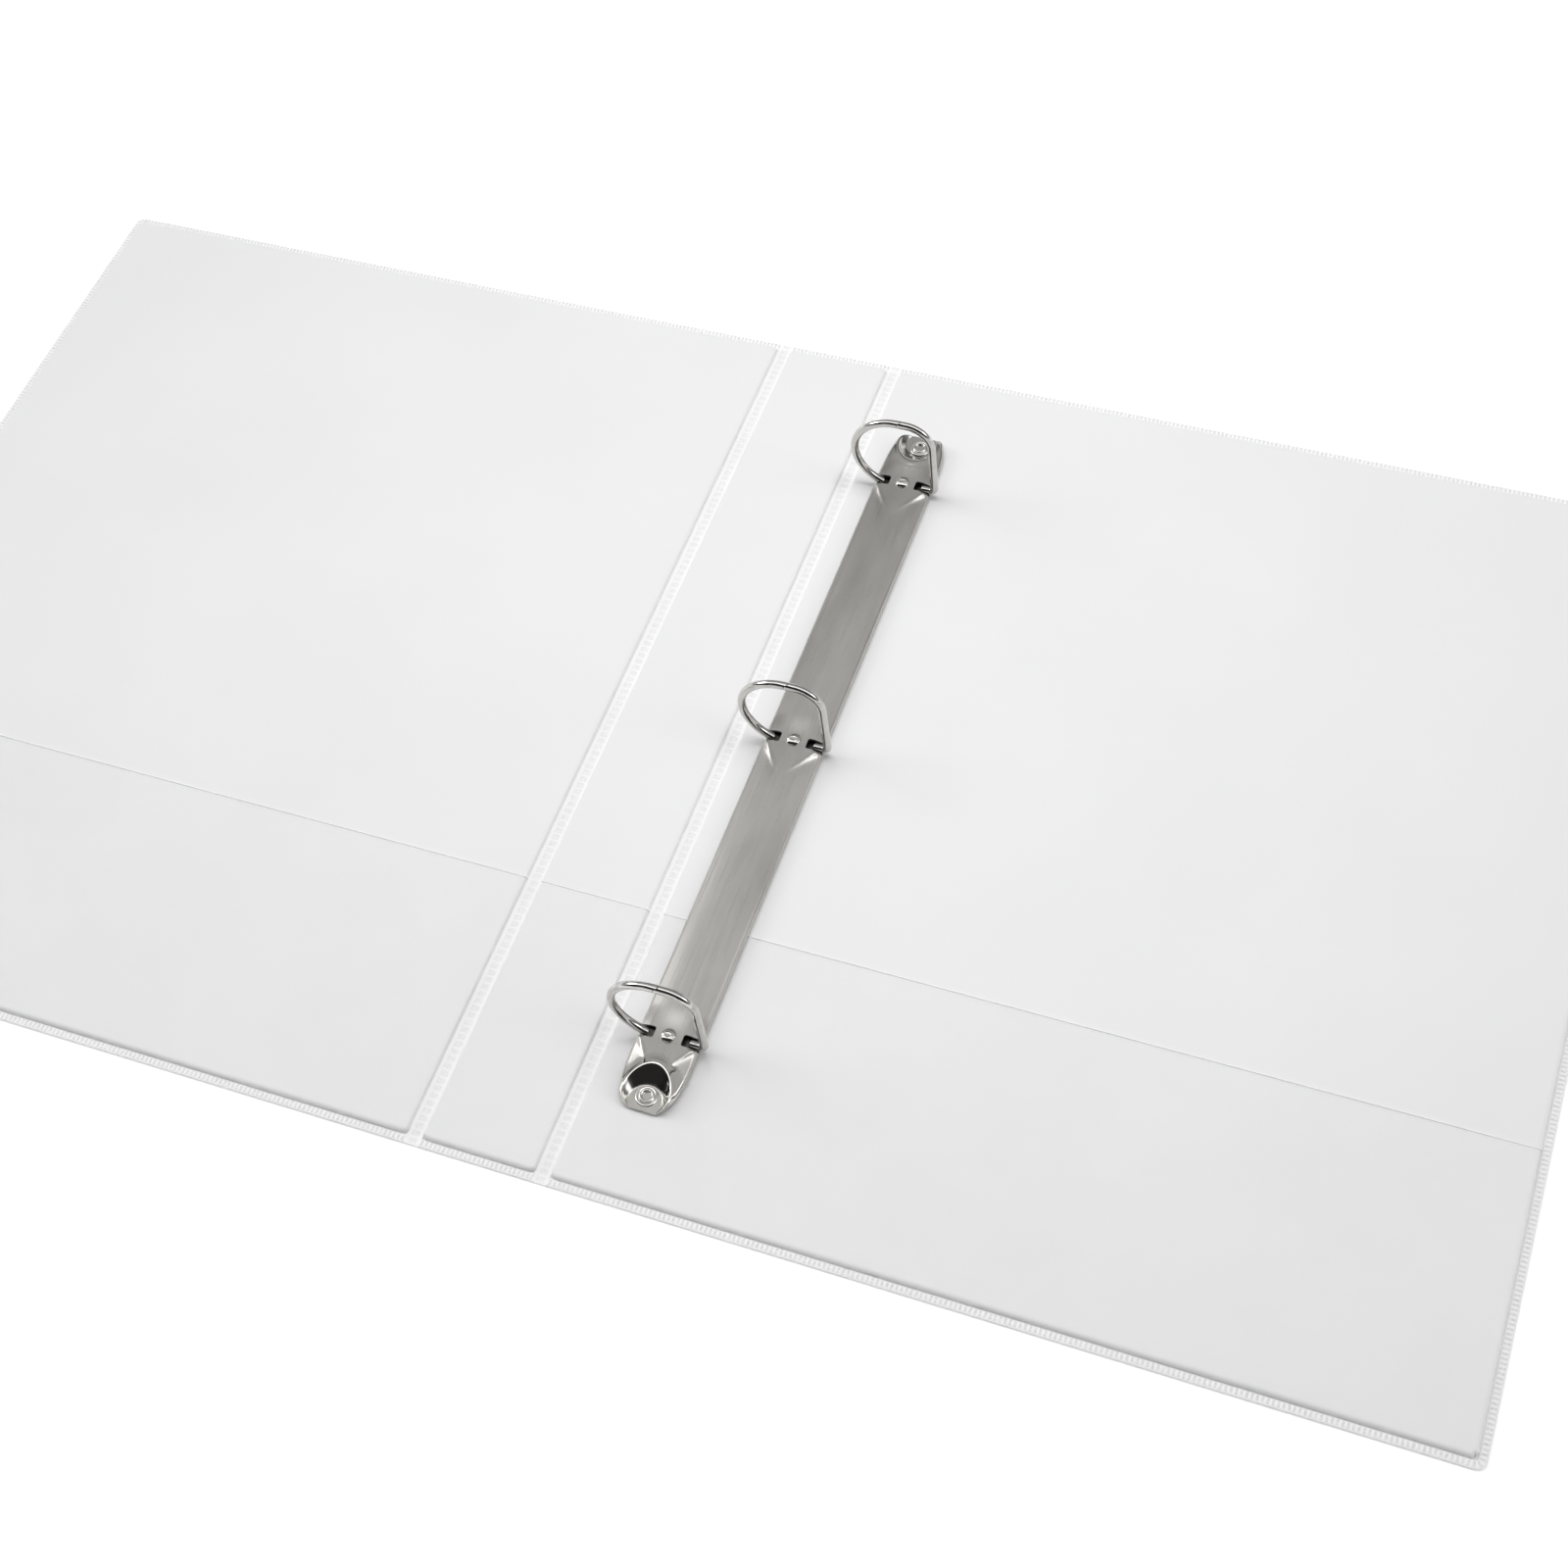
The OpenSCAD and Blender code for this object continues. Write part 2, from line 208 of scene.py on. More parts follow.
def noise(material, scale, stretch=(1, 1, 1), detail=4.0):
    """Noise over the object's own coordinates, stretched along chosen axes."""
    nodes, links = material.node_tree.nodes, material.node_tree.links
    coords = nodes.new("ShaderNodeTexCoord")
    mapping = nodes.new("ShaderNodeMapping")
    mapping.inputs["Scale"].default_value = stretch
    texture = nodes.new("ShaderNodeTexNoise")
    texture.inputs["Scale"].default_value = scale
    texture.inputs["Detail"].default_value = detail
    links.new(coords.outputs["Object"], mapping.inputs["Vector"])
    links.new(mapping.outputs["Vector"], texture.inputs["Vector"])
    return texture.outputs["Fac"]


def ramp(material, source, low, high, dark, light):
    """Colour that goes from dark to light as source goes from low to high."""
    node = material.node_tree.nodes.new("ShaderNodeValToRGB")
    node.color_ramp.elements[0].position = low
    node.color_ramp.elements[0].color = (*dark, 1)
    node.color_ramp.elements[1].position = high
    node.color_ramp.elements[1].color = (*light, 1)
    material.node_tree.links.new(source, node.inputs["Fac"])
    return node.outputs["Color"]


def spread(material, source, low, high):
    """Value that goes from low to high as source goes from 0.3 to 0.7."""
    node = material.node_tree.nodes.new("ShaderNodeMapRange")
    node.inputs["From Min"].default_value = 0.3
    node.inputs["From Max"].default_value = 0.7
    node.inputs["To Min"].default_value = low
    node.inputs["To Max"].default_value = high
    material.node_tree.links.new(source, node.inputs["Value"])
    return node.outputs["Result"]


def bump(material, shader, source, strength, distance):
    """Fine relief from source, up to distance high."""
    node = material.node_tree.nodes.new("ShaderNodeBump")
    node.inputs["Strength"].default_value = strength
    node.inputs["Distance"].default_value = distance
    material.node_tree.links.new(source, node.inputs["Height"])
    material.node_tree.links.new(node.outputs["Normal"], shader.inputs["Normal"])


FILM_IOR = 1.46
RELIEF = 0.02 * MM


def film_material(name, dark, light, roughness, peel):
    """Plastic film: faint cloudiness in its colour and gloss, and a fine uneven surface."""
    material, shader = new_material(name, light, roughness)
    links = material.node_tree.links
    cloud = noise(material, 14, detail=3)
    links.new(ramp(material, cloud, 0.3, 0.7, dark, light), shader.inputs["Base Color"])
    links.new(spread(material, cloud, roughness - 0.05, roughness + 0.05), shader.inputs["Roughness"])
    bump(material, shader, noise(material, 900, detail=2), peel, RELIEF)
    shader.inputs["IOR"].default_value = FILM_IOR
    return material


def weld_material():
    """Welded film: whiter than the panels, greyer and finely grained where the die has pressed it thin."""
    material, shader = new_material("welded_film", (0.96, 0.96, 0.96), 0.4)
    nodes, links = material.node_tree.nodes, material.node_tree.links
    plain = ramp(material, noise(material, 40), 0.3, 0.7, (0.93, 0.93, 0.93), (0.97, 0.97, 0.97))
    grain = noise(material, 1500, detail=3)
    pressed = ramp(material, grain, 0.35, 0.65, (0.66, 0.66, 0.66), (0.86, 0.86, 0.86))
    press = nodes.new("ShaderNodeAttribute")
    press.attribute_name = "press"
    mix = nodes.new("ShaderNodeMix")
    mix.data_type = "RGBA"
    links.new(press.outputs["Fac"], mix.inputs["Factor"])
    links.new(plain, mix.inputs["A"])
    links.new(pressed, mix.inputs["B"])
    links.new(mix.outputs["Result"], shader.inputs["Base Color"])
    bump(material, shader, grain, 0.15, RELIEF)
    return material


def clear_material():
    """Clear film, as a thin milky and glossy layer that mostly shows what is under it, with a painted highlight:
    it turns opaque white along a pocket's cut edge, as if that edge caught the light.
    """
    material, shader = new_material("clear_film", (0.96, 0.96, 0.965), 0.14)
    links = material.node_tree.links
    links.new(spread(material, noise(material, 20), 0.1, 0.2), shader.inputs["Roughness"])
    # Painted highlight: along the pocket's cut edge the film's alpha rises to 0.75, which draws a white line where
    # light would catch the edge.
    edge_highlight_node = material.node_tree.nodes.new("ShaderNodeAttribute")
    edge_highlight_node.attribute_name = "cut_edge_highlight"
    painted_highlight_alpha = material.node_tree.nodes.new("ShaderNodeMix")
    painted_highlight_alpha.inputs["B"].default_value = 0.75
    links.new(edge_highlight_node.outputs["Fac"], painted_highlight_alpha.inputs["Factor"])
    links.new(spread(material, noise(material, 9), 0.05, 0.09), painted_highlight_alpha.inputs["A"])
    links.new(painted_highlight_alpha.outputs["Result"], shader.inputs["Alpha"])
    bump(material, shader, noise(material, 60, detail=2), 0.05, 0.1 * MM)
    shader.inputs["IOR"].default_value = FILM_IOR
    return material


def plated_material(name, dark, light, roughness, brushing):
    """Nickel plate over steel, lightly brushed along Y and smoother where the press has polished it."""
    material, shader = new_material(name, light, roughness, 1.0)
    nodes, links = material.node_tree.nodes, material.node_tree.links
    streaks = noise(material, 240, (8, 0.12, 8), 5)
    smudges = noise(material, 45, (1.6, 0.5, 1), 5)
    links.new(ramp(material, smudges, 0.3, 0.7, dark, light), shader.inputs["Base Color"])
    polish = nodes.new("ShaderNodeAttribute")
    polish.attribute_name = "polish"
    mix = nodes.new("ShaderNodeMix")
    mix.inputs["B"].default_value = 0.1
    links.new(polish.outputs["Fac"], mix.inputs["Factor"])
    links.new(spread(material, streaks, roughness - 0.05, roughness + 0.08), mix.inputs["A"])
    links.new(mix.outputs["Result"], shader.inputs["Roughness"])
    bump(material, shader, streaks, brushing, 0.01 * MM)
    return material


def polished_material(name, dark, light, roughness):
    """Polished nickel plate with faint haze."""
    material, shader = new_material(name, light, roughness, 1.0)
    links = material.node_tree.links
    haze = noise(material, 350, detail=5)
    links.new(ramp(material, haze, 0.3, 0.7, dark, light), shader.inputs["Base Color"])
    links.new(spread(material, haze, roughness * 0.6, roughness * 1.5), shader.inputs["Roughness"])
    return material


def board_material():
    """Grey paper board with its fibres along Y."""
    material, shader = new_material("greyboard", (0.42, 0.39, 0.34), 0.9)
    fibres = noise(material, 600, (1, 0.3, 1), 8)
    color = ramp(material, fibres, 0.3, 0.7, (0.34, 0.31, 0.27), (0.5, 0.47, 0.42))
    material.node_tree.links.new(color, shader.inputs["Base Color"])
    bump(material, shader, fibres, 0.4, 0.05 * MM)
    return material


WHITE = film_material("white_film", (0.84, 0.84, 0.843), (0.86, 0.86, 0.862), 0.36, 0.06)
WELD = weld_material()
CLEAR = clear_material()
NICKEL = plated_material("nickel_steel", (0.5, 0.489, 0.463), (0.66, 0.645, 0.613), 0.31, 0.2)
# Painted shade: the leaf steel gets a dark colour that stands in for the shade the leaves lie in, under the
# housing and seen through its slots.
LEAF_IN_PAINTED_SHADE = plated_material("leaf_steel", (0.16, 0.155, 0.15), (0.24, 0.235, 0.23), 0.45, 0.2)
RING = polished_material("ring_wire", (0.56, 0.55, 0.53), (0.64, 0.63, 0.61), 0.09)
RIVET = polished_material("rivet_metal", (0.68, 0.665, 0.64), (0.76, 0.745, 0.72), 0.12)
BOARD = board_material()


# ---- Covers and spine ----

EDGE_LINES = np.array([0, 0.06, 0.16, 0.35, 1.0, 1.6, 2.1, 2.4, 2.55, 2.57, 2.61, 2.67, 2.76, 2.88, 3.02,
                       3.18, 3.36, 3.6, 3.95, 4.5, 6, 9]) * MM
HINGE_LINES = np.array([0, 0.01, 0.04, 0.08, 0.14, 0.22, 0.32, 0.44, 0.6, 0.85, 1.2, 1.8, 3, 6]) * MM
WALL_START = EDGE_LINES[8]
WALL_LINES = EDGE_LINES[8:] - WALL_START
RIM_LINES = EDGE_LINES[:12]
WAVE = 0.05 * MM
GRID_STEP = 5 * MM
FILM_T = 0.22 * MM
HINGE_SIDE = 5 * MM
HINGE_REACH = 0.5 * MM
EDGE_REACH = 0.95 * MM


def film_height(inset, reach):
    """Height of the white film at a distance in from its weld; it climbs the board's edge within reach."""
    climb = np.clip(inset / reach, 0, 1)
    wall = np.sqrt(1 - (1 - climb) ** 2) * 0.9
    crown = 0.1 * smoothstep((inset - 0.5 * reach) / (1.1 * MM))
    return Z_FLANGE + (Z_SHEET - Z_FLANGE) * (wall + crown)


def climb_reach(x, low_x, high_x, sides, nearer_side):
    """Distance in which the film climbs the board: shorter beside a hinge, where the wall is steeper."""
    low_hinge = (x - low_x < HINGE_SIDE) & (sides[0] == 0)
    high_hinge = (high_x - x < HINGE_SIDE) & (sides[1] == 0)
    return np.where((low_hinge | high_hinge) & nearer_side, HINGE_REACH, EDGE_REACH)


def rounded_inset(across, along, radius=2 * MM):
    """Distance in from a rectangle's edge with rounded corners, from the distances in from its sides."""
    corner = radius - np.hypot(np.maximum(radius - across, 0), np.maximum(radius - along, 0))
    return np.where((across < radius) & (along < radius), corner, np.minimum(across, along))


def panel_lines(low, high, low_lines, high_lines, step):
    """Grid lines from low to high, close together at both ends."""
    inner_low, inner_high = low + low_lines[-1], high - high_lines[-1]
    count = max(2, int(round((inner_high - inner_low) / step)) + 1)
    return np.concatenate([low + low_lines[:-1], np.linspace(inner_low, inner_high, count),
                           (high - high_lines[:-1])[::-1]])


def round_corners(x, y, low_x, high_x, low_y, high_y, corners):
    """Moves grid points near chosen corners (sx, sy) on to rounded loops, tighter further in."""
    for sx, sy in corners:
        dx = high_x - x if sx > 0 else x - low_x
        dy = high_y - y if sy > 0 else y - low_y
        inset, along = np.minimum(dx, dy), np.abs(dx - dy)
        radius = np.clip(CORNER_R - inset * 0.5, 0.5 * CORNER_R, CORNER_R)
        near = (along < radius) & (inset < 8 * MM)
        angle = math.pi / 4 * (1 - along / np.maximum(radius, 1e-9))
        short, long = radius * (1 - np.cos(angle)), radius * (1 - np.sin(angle))
        new_dx = np.where(dx <= dy, inset + short, inset + long)
        new_dy = np.where(dx <= dy, inset + long, inset + short)
        x = np.where(near, high_x - new_dx if sx > 0 else low_x + new_dx, x)
        y = np.where(near, high_y - new_dy if sy > 0 else low_y + new_dy, y)
    return x, y


def waviness(x, y, seed):
    """Slow waves in the tight film, a few hundredths of a millimetre high."""
    r = np.random.default_rng(seed)
    total = np.zeros_like(x)
    for _ in range(7):
        direction, wavelength = r.uniform(0, math.pi), r.uniform(45, 150) * MM
        phase = r.uniform(0, 2 * math.pi)
        along = x * math.cos(direction) + y * math.sin(direction)
        total += np.sin(2 * math.pi * along / wavelength + phase)
    return total / 7


def inner_film(name, body, low_x, high_x, sides, corners, seed):
    """White inner sheet over one board. sides: wall start at low x, high x, low y and high y."""
    low_lines = HINGE_LINES if sides[0] == 0 else EDGE_LINES
    high_lines = HINGE_LINES if sides[1] == 0 else EDGE_LINES
    xs = panel_lines(low_x, high_x, low_lines, high_lines, GRID_STEP)
    ys = panel_lines(-HALF_H, HALF_H, EDGE_LINES, EDGE_LINES, GRID_STEP)
    x, y = np.meshgrid(xs, ys)
    across = np.minimum(x - low_x - sides[0], high_x - x - sides[1])
    along = np.minimum(y + HALF_H - sides[2], HALF_H - y - sides[3])
    reach = climb_reach(x, low_x, high_x, sides, across < along)
    inset = rounded_inset(across, along)
    upper_z = film_height(inset, reach)
    calm = smoothstep(inset / (12 * MM))
    upper_z = upper_z - WAVE * calm + WAVE * calm * waviness(x, y, seed)
    lower_z = np.maximum(upper_z - FILM_T, Z_UNDER)
    far = np.ones_like(x)
    edge = np.minimum.reduce((x - low_x if sides[0] else far, high_x - x if sides[1] else far,
                              y + HALF_H, HALF_H - y))
    upper_z = upper_z - 0.09 * MM * (1 - smoothstep(edge / (0.16 * MM)))
    x, y = round_corners(x, y, low_x, high_x, -HALF_H, HALF_H, corners)
    upper = np.stack([x, y, upper_z], -1)
    lower = np.stack([x, y, lower_z - 0.001 * MM], -1)
    obj = mesh_object(name, *closed_sheet(upper, lower), WHITE, 50)
    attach(obj, body)
    return obj


def make_inner_films():
    front = inner_film("front_inner_film", "front_cover", -OUTER_X, -COVER_X,
                       (WALL_START, 0, WALL_START, WALL_START), [(-1, -1), (-1, 1)], 3)
    spine = inner_film("spine_inner_film", "spine", -SPINE_X, SPINE_X,
                       (0, 0, WALL_START, WALL_START), [], 4)
    back = inner_film("back_inner_film", "back_cover", COVER_X, OUTER_X,
                      (0, WALL_START, WALL_START, WALL_START), [(1, -1), (1, 1)], 5)
    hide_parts("front_inner_sheet")
    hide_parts("spine_inner_sheet")
    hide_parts("back_inner_sheet")


PANELS = (("front", "front_cover", -OUTER_X, -COVER_X, -1, 31),
          ("spine", "spine", -SPINE_X, SPINE_X, 0, 32),
          ("back", "back_cover", COVER_X, OUTER_X, 1, 33))
SLEEVE_GAP = 0.02 * MM


def outer_skins(panel, body, low_x, high_x, outer_side, seed):
    """White outer sheet of one panel, and the clear sleeve over it, open at the head."""
    sleeve_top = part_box(f"{panel}_view_sleeve")[1]
    corners = [(outer_side, -1), (outer_side, 1)] if outer_side else []
    lines = (HINGE_LINES, RIM_LINES) if outer_side > 0 else (RIM_LINES, HINGE_LINES)
    lines = lines if outer_side else (HINGE_LINES, HINGE_LINES)
    for kind, head_y, material, slot in (("outer_film", HALF_H, WHITE, "white_film"),
                                         ("clear_sleeve", sleeve_top.y, CLEAR, "clear_film")):
        xs = panel_lines(low_x, high_x, *lines, GRID_STEP)
        ys = panel_lines(-HALF_H, head_y, RIM_LINES, RIM_LINES, GRID_STEP)
        x, y = np.meshgrid(xs, ys)
        edge = np.minimum(OUTER_X - x * outer_side if outer_side else np.ones_like(x), y + HALF_H)
        edge = edge if kind == "clear_sleeve" else np.minimum(edge, HALF_H - y)
        panel_face = smoothstep((edge - WALL_START) / (0.5 * MM))
        if kind == "clear_sleeve":
            wave = 0.5 + 0.5 * waviness(x, y, seed)
            outside = Z_BAND * (1 - panel_face) + 0.05 * MM * wave * panel_face
            inside = np.full_like(x, sleeve_top.z - SLEEVE_GAP)
        else:
            outside = np.full_like(x, sleeve_top.z + 0.5 * SLEEVE_GAP)
            inside = np.full_like(x, 2 * sleeve_top.z + 2 * SLEEVE_GAP)
        x, y = round_corners(x, y, low_x, high_x, -HALF_H, HALF_H, corners)
        grids = [np.stack([x, y, z], -1) for z in (inside, outside)]
        obj = mesh_object(f"{panel}_{kind}", *closed_sheet(*grids), material, 50)
        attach(obj, body)
        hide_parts(f"{panel}_outer_sheet" if kind == "outer_film" else f"{panel}_view_sleeve")


def make_outer_skins():
    for panel in PANELS:
        outer_skins(*panel)


BOARD_EDGE_R = 0.7 * MM
BOARD_LINES = np.array([0, 0.04, 0.12, 0.25, 0.45, 0.7]) * MM


def make_boards():
    """Greyboard panels with softened upper edges, under the film."""
    for panel, body in (("front", "front_cover"), ("spine", "spine"), ("back", "back_cover")):
        low, high = (np.array(c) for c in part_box(f"{panel}_board"))
        x, y = np.meshgrid(panel_lines(low[0], high[0], BOARD_LINES, BOARD_LINES, 20 * MM),
                           panel_lines(low[1], high[1], BOARD_LINES, BOARD_LINES, 20 * MM))
        inset = rounded_inset(np.minimum(x - low[0], high[0] - x), np.minimum(y - low[1], high[1] - y))
        soft = BOARD_EDGE_R * (1 - np.sqrt(1 - (1 - np.clip(inset / BOARD_EDGE_R, 0, 1)) ** 2))
        soft += np.clip(-inset, 0, 1 * MM)
        upper = np.stack([x, y, high[2] - 0.06 * MM - soft], -1)
        lower = np.stack([x, y, np.full_like(x, low[2])], -1)
        obj = mesh_object(f"{panel}_soft_board", *closed_sheet(upper, lower), BOARD, 60)
        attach(obj, body)
        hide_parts(f"{panel}_board")


# ---- Knurled welds ----

Z_BAND = 0.07 * MM
KNURL_PITCH = 2.5 * MM
KNURL_H = 0.14 * MM
KNURL_STEPS = 8
EDGE_PITCH = 1.4 * MM
EDGE_STEP = 0.2 * MM


def knurl(distance, pitch=KNURL_PITCH):
    """Raised blocks along a weld, one in each pitch, from 0 to 1."""
    wave = np.cos(2 * math.pi * distance / pitch)
    return smoothstep(0.5 + 1.1 * wave)


def strip_rows(length):
    """Places along a hinge strip, a whole number of knurls long."""
    count = int(round(length / KNURL_PITCH)) * KNURL_STEPS
    return np.linspace(0, length, count + 1)


def edge_path(low_x, high_x, inset, outer_side, step):
    """Points, outward normals and distance along the weld round the free sides of a panel."""
    r = CORNER_R - inset
    y0, y1 = -HALF_H + inset, HALF_H - inset
    near, far = (low_x, high_x) if outer_side > 0 else (high_x, low_x)
    turn = far - outer_side * CORNER_R
    foot = [(x, y0, 0, -1) for x in np.arange(near, turn, step * outer_side)]
    angles = np.linspace(-math.pi / 2, 0, 9)
    low = [(turn + outer_side * r * math.cos(a), y0 + r + r * math.sin(a),
            outer_side * math.cos(a), math.sin(a)) for a in angles]
    side = [(far - outer_side * inset, y, outer_side, 0)
            for y in np.arange(y0 + r + step, y1 - r - step / 2, step)]
    high = [(turn + outer_side * r * math.cos(a), y1 - r + r * math.sin(a),
             outer_side * math.cos(a), math.sin(a)) for a in angles + math.pi / 2]
    head = [(x, y1, 0, 1) for x in np.arange(turn - outer_side * step, near, -step * outer_side)]
    path = np.array(foot + low + side + high + head + [(near, y1, 0, 1)])
    steps = np.hypot(*np.diff(path[:, :2], axis=0).T)
    return path, np.concatenate([[0], np.cumsum(steps)])


BEAD_ACROSS = np.array([-1.05, -0.9, -0.7, -0.4, 0, 0.4, 0.7, 0.9, 1.05]) * MM
BEAD_WINDOW = np.array([0, 0.4, 1, 1, 1, 1, 1, 0.4, 0])


def bead_weld(name, body, path, distance, outside):
    """Knurled bead along a path, on the inner or the outer face, pressed hard between its blocks."""
    blocks = knurl(distance, EDGE_PITCH)[:, None]
    window = BEAD_WINDOW[None]
    if outside:
        crest = Z_BAND - (Z_BAND - 0.005 * MM) * np.minimum(1, window * 3) * (0.3 + 0.7 * blocks * window)
        root = Z_BAND + 0.05 * MM
    else:
        crest = Z_FLANGE + 0.015 * MM * np.minimum(1, window * 3) + KNURL_H * blocks * window
        root = Z_FLANGE - 0.12 * MM
    rows = []
    for (x, y, nx, ny), z in zip(path, crest):
        face = [(x + nx * a, y + ny * a, h) for a, h in zip(BEAD_ACROSS, z)]
        back = [(x + nx * a, y + ny * a, root) for a in (BEAD_ACROSS[-1], BEAD_ACROSS[0])]
        rows.append(face + back)
    obj = mesh_object(name, *tube(rows), WELD, 35)
    store_press(obj, np.concatenate([(1 - blocks) * window, np.zeros((len(rows), 2))], 1))
    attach(obj, body)


def edge_weld(name, body, low_x, high_x, outer_side, outside=False):
    """Knurled bead round the three free sides of a cover."""
    step = EDGE_STEP * (1.75 if outside else 1)
    path, distance = edge_path(low_x, high_x, WALL_START / 2, outer_side, step)
    bead_weld(name, body, path, distance, outside)


def spine_weld(name, end):
    """Knurled bead across the head or foot of the spine."""
    xs = np.linspace(-SPINE_X, SPINE_X, round(2 * SPINE_X / EDGE_STEP) + 1)
    path = [(x, end * (HALF_H - WALL_START / 2), 0, end) for x in xs]
    bead_weld(name, "spine", path, xs - xs[0], False)


HINGE_ACROSS = np.array([0.25, 0.7, 1.12, 1.25, 1.35, 1.55, 1.85, 2.1, 2.28, 2.4]) / 2.4
HINGE_ACROSS = np.concatenate([-HINGE_ACROSS[::-1], HINGE_ACROSS])
CELL_EDGE = 1.35 * MM
CELL_DEPTH = 0.14 * MM
CELL_SHADE = 0.4
CELL_LENGTH = 2.1 * MM


def hinge_strip(name, x, nodes, seed):
    """Welded film of one hinge: a row of cells pressed along its middle, lying flat between the spine and a cover.
    """
    half = COVER_X - HINGE_X
    ys = -HALF_H + strip_rows(2 * HALF_H)
    u = HINGE_ACROSS * half
    gu, gy = np.meshgrid(u, ys)
    along = np.abs((gy + HALF_H) % KNURL_PITCH - KNURL_PITCH / 2)
    cell = smoothstep((CELL_LENGTH / 2 - along) / (0.28 * MM))
    cell = cell * smoothstep((CELL_EDGE - np.abs(gu)) / (0.15 * MM))
    r = np.random.default_rng(seed)
    grain = r.uniform(0, 1, gu.shape)
    margin = smoothstep((np.abs(gu) - 1.95 * MM) / (0.4 * MM))
    scallop = margin * (0.1 + 0.16 * knurl(gy + HALF_H)) * MM
    sag = 0.05 * MM * waviness(gu * 8, gy * 2.5, seed)
    top = Z_FLANGE - CELL_DEPTH * cell * (1 - 0.35 * grain) + scallop + sag * (1 - np.abs(gu) / half)
    upper = np.stack([x + gu, gy, top], -1)
    lower = np.stack([x + gu, gy, np.full_like(gu, 0.02 * MM)], -1)
    obj = mesh_object(name, *closed_sheet(upper, lower), WELD, 60)
    store_press(obj, cell * CELL_SHADE)
    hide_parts(*nodes)
    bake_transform(obj)


def store_press(obj, upper):
    """Keeps how hard the welding die has pressed each point, for the film's material."""
    press = obj.data.attributes.new("press", "FLOAT", "POINT")
    values = np.zeros(len(obj.data.vertices), np.float32)
    values[:upper.size] = upper.ravel()
    press.data.foreach_set("value", values)


def make_welds():
    edge_weld("front_edge_weld", "front_cover", -OUTER_X, -COVER_X, -1)
    edge_weld("back_edge_weld", "back_cover", COVER_X, OUTER_X, 1)
    edge_weld("front_outside_weld", "front_cover", -OUTER_X, -COVER_X, -1, True)
    edge_weld("back_outside_weld", "back_cover", COVER_X, OUTER_X, 1, True)
    spine_weld("spine_head_weld", 1)
    spine_weld("spine_foot_weld", -1)
    hinge_strip("back_hinge_strip", HINGE_X,
                ("back_hinge_cover_half", "back_hinge_spine_half"), 11)
    hinge_strip("front_hinge_strip", -HINGE_X,
                ("front_hinge_spine_half", "front_hinge_cover_half"), 12)


# ---- Clear pockets inside ----

def clear_pocket(name, body, node, low_x, high_x, sides, seed):
    """Clear pocket over the foot of one panel: welded at its sides and foot, slightly slack at its mouth."""
    low_lines = HINGE_LINES if sides[0] == 0 else WALL_LINES
    high_lines = HINGE_LINES if sides[1] == 0 else WALL_LINES
    xs = panel_lines(low_x + sides[0], high_x - sides[1], low_lines, high_lines, GRID_STEP)
    foot = -HALF_H + WALL_START
    mouth_lines = np.array([0, 0.05, 0.15, 0.28, 0.4, 0.55, 1, 2.5, 5]) * MM
    ys = panel_lines(foot, POCKET_TOP_Y, WALL_LINES, mouth_lines, 4 * MM)
    x, y = np.meshgrid(xs, ys)
    side_inset = np.minimum(x - low_x - sides[0], high_x - x - sides[1])
    inset = rounded_inset(side_inset, y - foot)
    reach = climb_reach(x, low_x, high_x, sides, side_inset < y - foot)
    slack = smoothstep(side_inset / (25 * MM)) * smoothstep((y - foot) / (POCKET_TOP_Y - foot))
    bow = 0.16 * MM * slack * (1.0 + 0.8 * waviness(x * 1.3, y * 0.6, seed))
    lower = film_height(inset, reach) + 0.012 * MM + np.maximum(bow, 0)
    thick = POCKET_T * (0.75 + 0.5 * smoothstep(1 - (POCKET_TOP_Y - y) / (0.5 * MM)))
    upper = np.stack([x, y, lower + thick], -1)
    obj = mesh_object(name, *closed_sheet(upper, np.stack([x, y, lower], -1)), CLEAR, 50)
    # Painted highlight mask: 1 over the last 0.4 mm at the pocket's mouth, where the film is drawn opaque white as
    # if its cut edge caught the light.
    cut_edge_highlight = smoothstep(1 - (POCKET_TOP_Y - y) / (0.4 * MM)).ravel()
    painted_highlight_attr = obj.data.attributes.new("cut_edge_highlight", "FLOAT", "POINT")
    painted_highlight_attr.data.foreach_set("value", np.concatenate([cut_edge_highlight, cut_edge_highlight]).astype(np.float32))
    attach(obj, body)
    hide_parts(node)


def make_pockets():
    clear_pocket("front_clear_pocket", "front_cover", "front_pocket", -OUTER_X, -COVER_X,
                 (WALL_START, 0), 21)
    clear_pocket("spine_clear_pocket", "spine", "spine_pocket", -SPINE_X, SPINE_X, (0, 0), 22)
    clear_pocket("back_clear_pocket", "back_cover", "back_pocket", COVER_X, OUTER_X,
                 (0, WALL_START), 23)


# ---- Housing of the ring mechanism ----

ARCH_RISE = 2.3 * MM
ARCH_R = (HALF_W ** 2 + ARCH_RISE ** 2) / (2 * ARCH_RISE)
TONGUE_Z = BASE_Z + STEEL_T
HOOD_FOOT_Y = HALF_L - 3.2 * MM
HOOD_RIM_Y = HALF_L - 4.7 * MM
HOOD_FOOT_R = 5.1 * MM
HOOD_RIM_R = 10.3 * MM
DROP_Y = HALF_L - 6.5 * MM
TAPER_Y = HALF_L - 19.2 * MM
TAPER_L = 19.6 * MM
FLAT_Z = CROWN_Z - 0.5 * MM
CREASE_START = np.array((8.9, 1.6)) * MM
CREASE_END = np.array((1.6, 12.5)) * MM
EDGE_ROLL = 1.1 * MM
UNDERCUT = 0.95 * MM
SLOT_HALF = 1.85 * MM
SLOT_END = 4.35 * MM


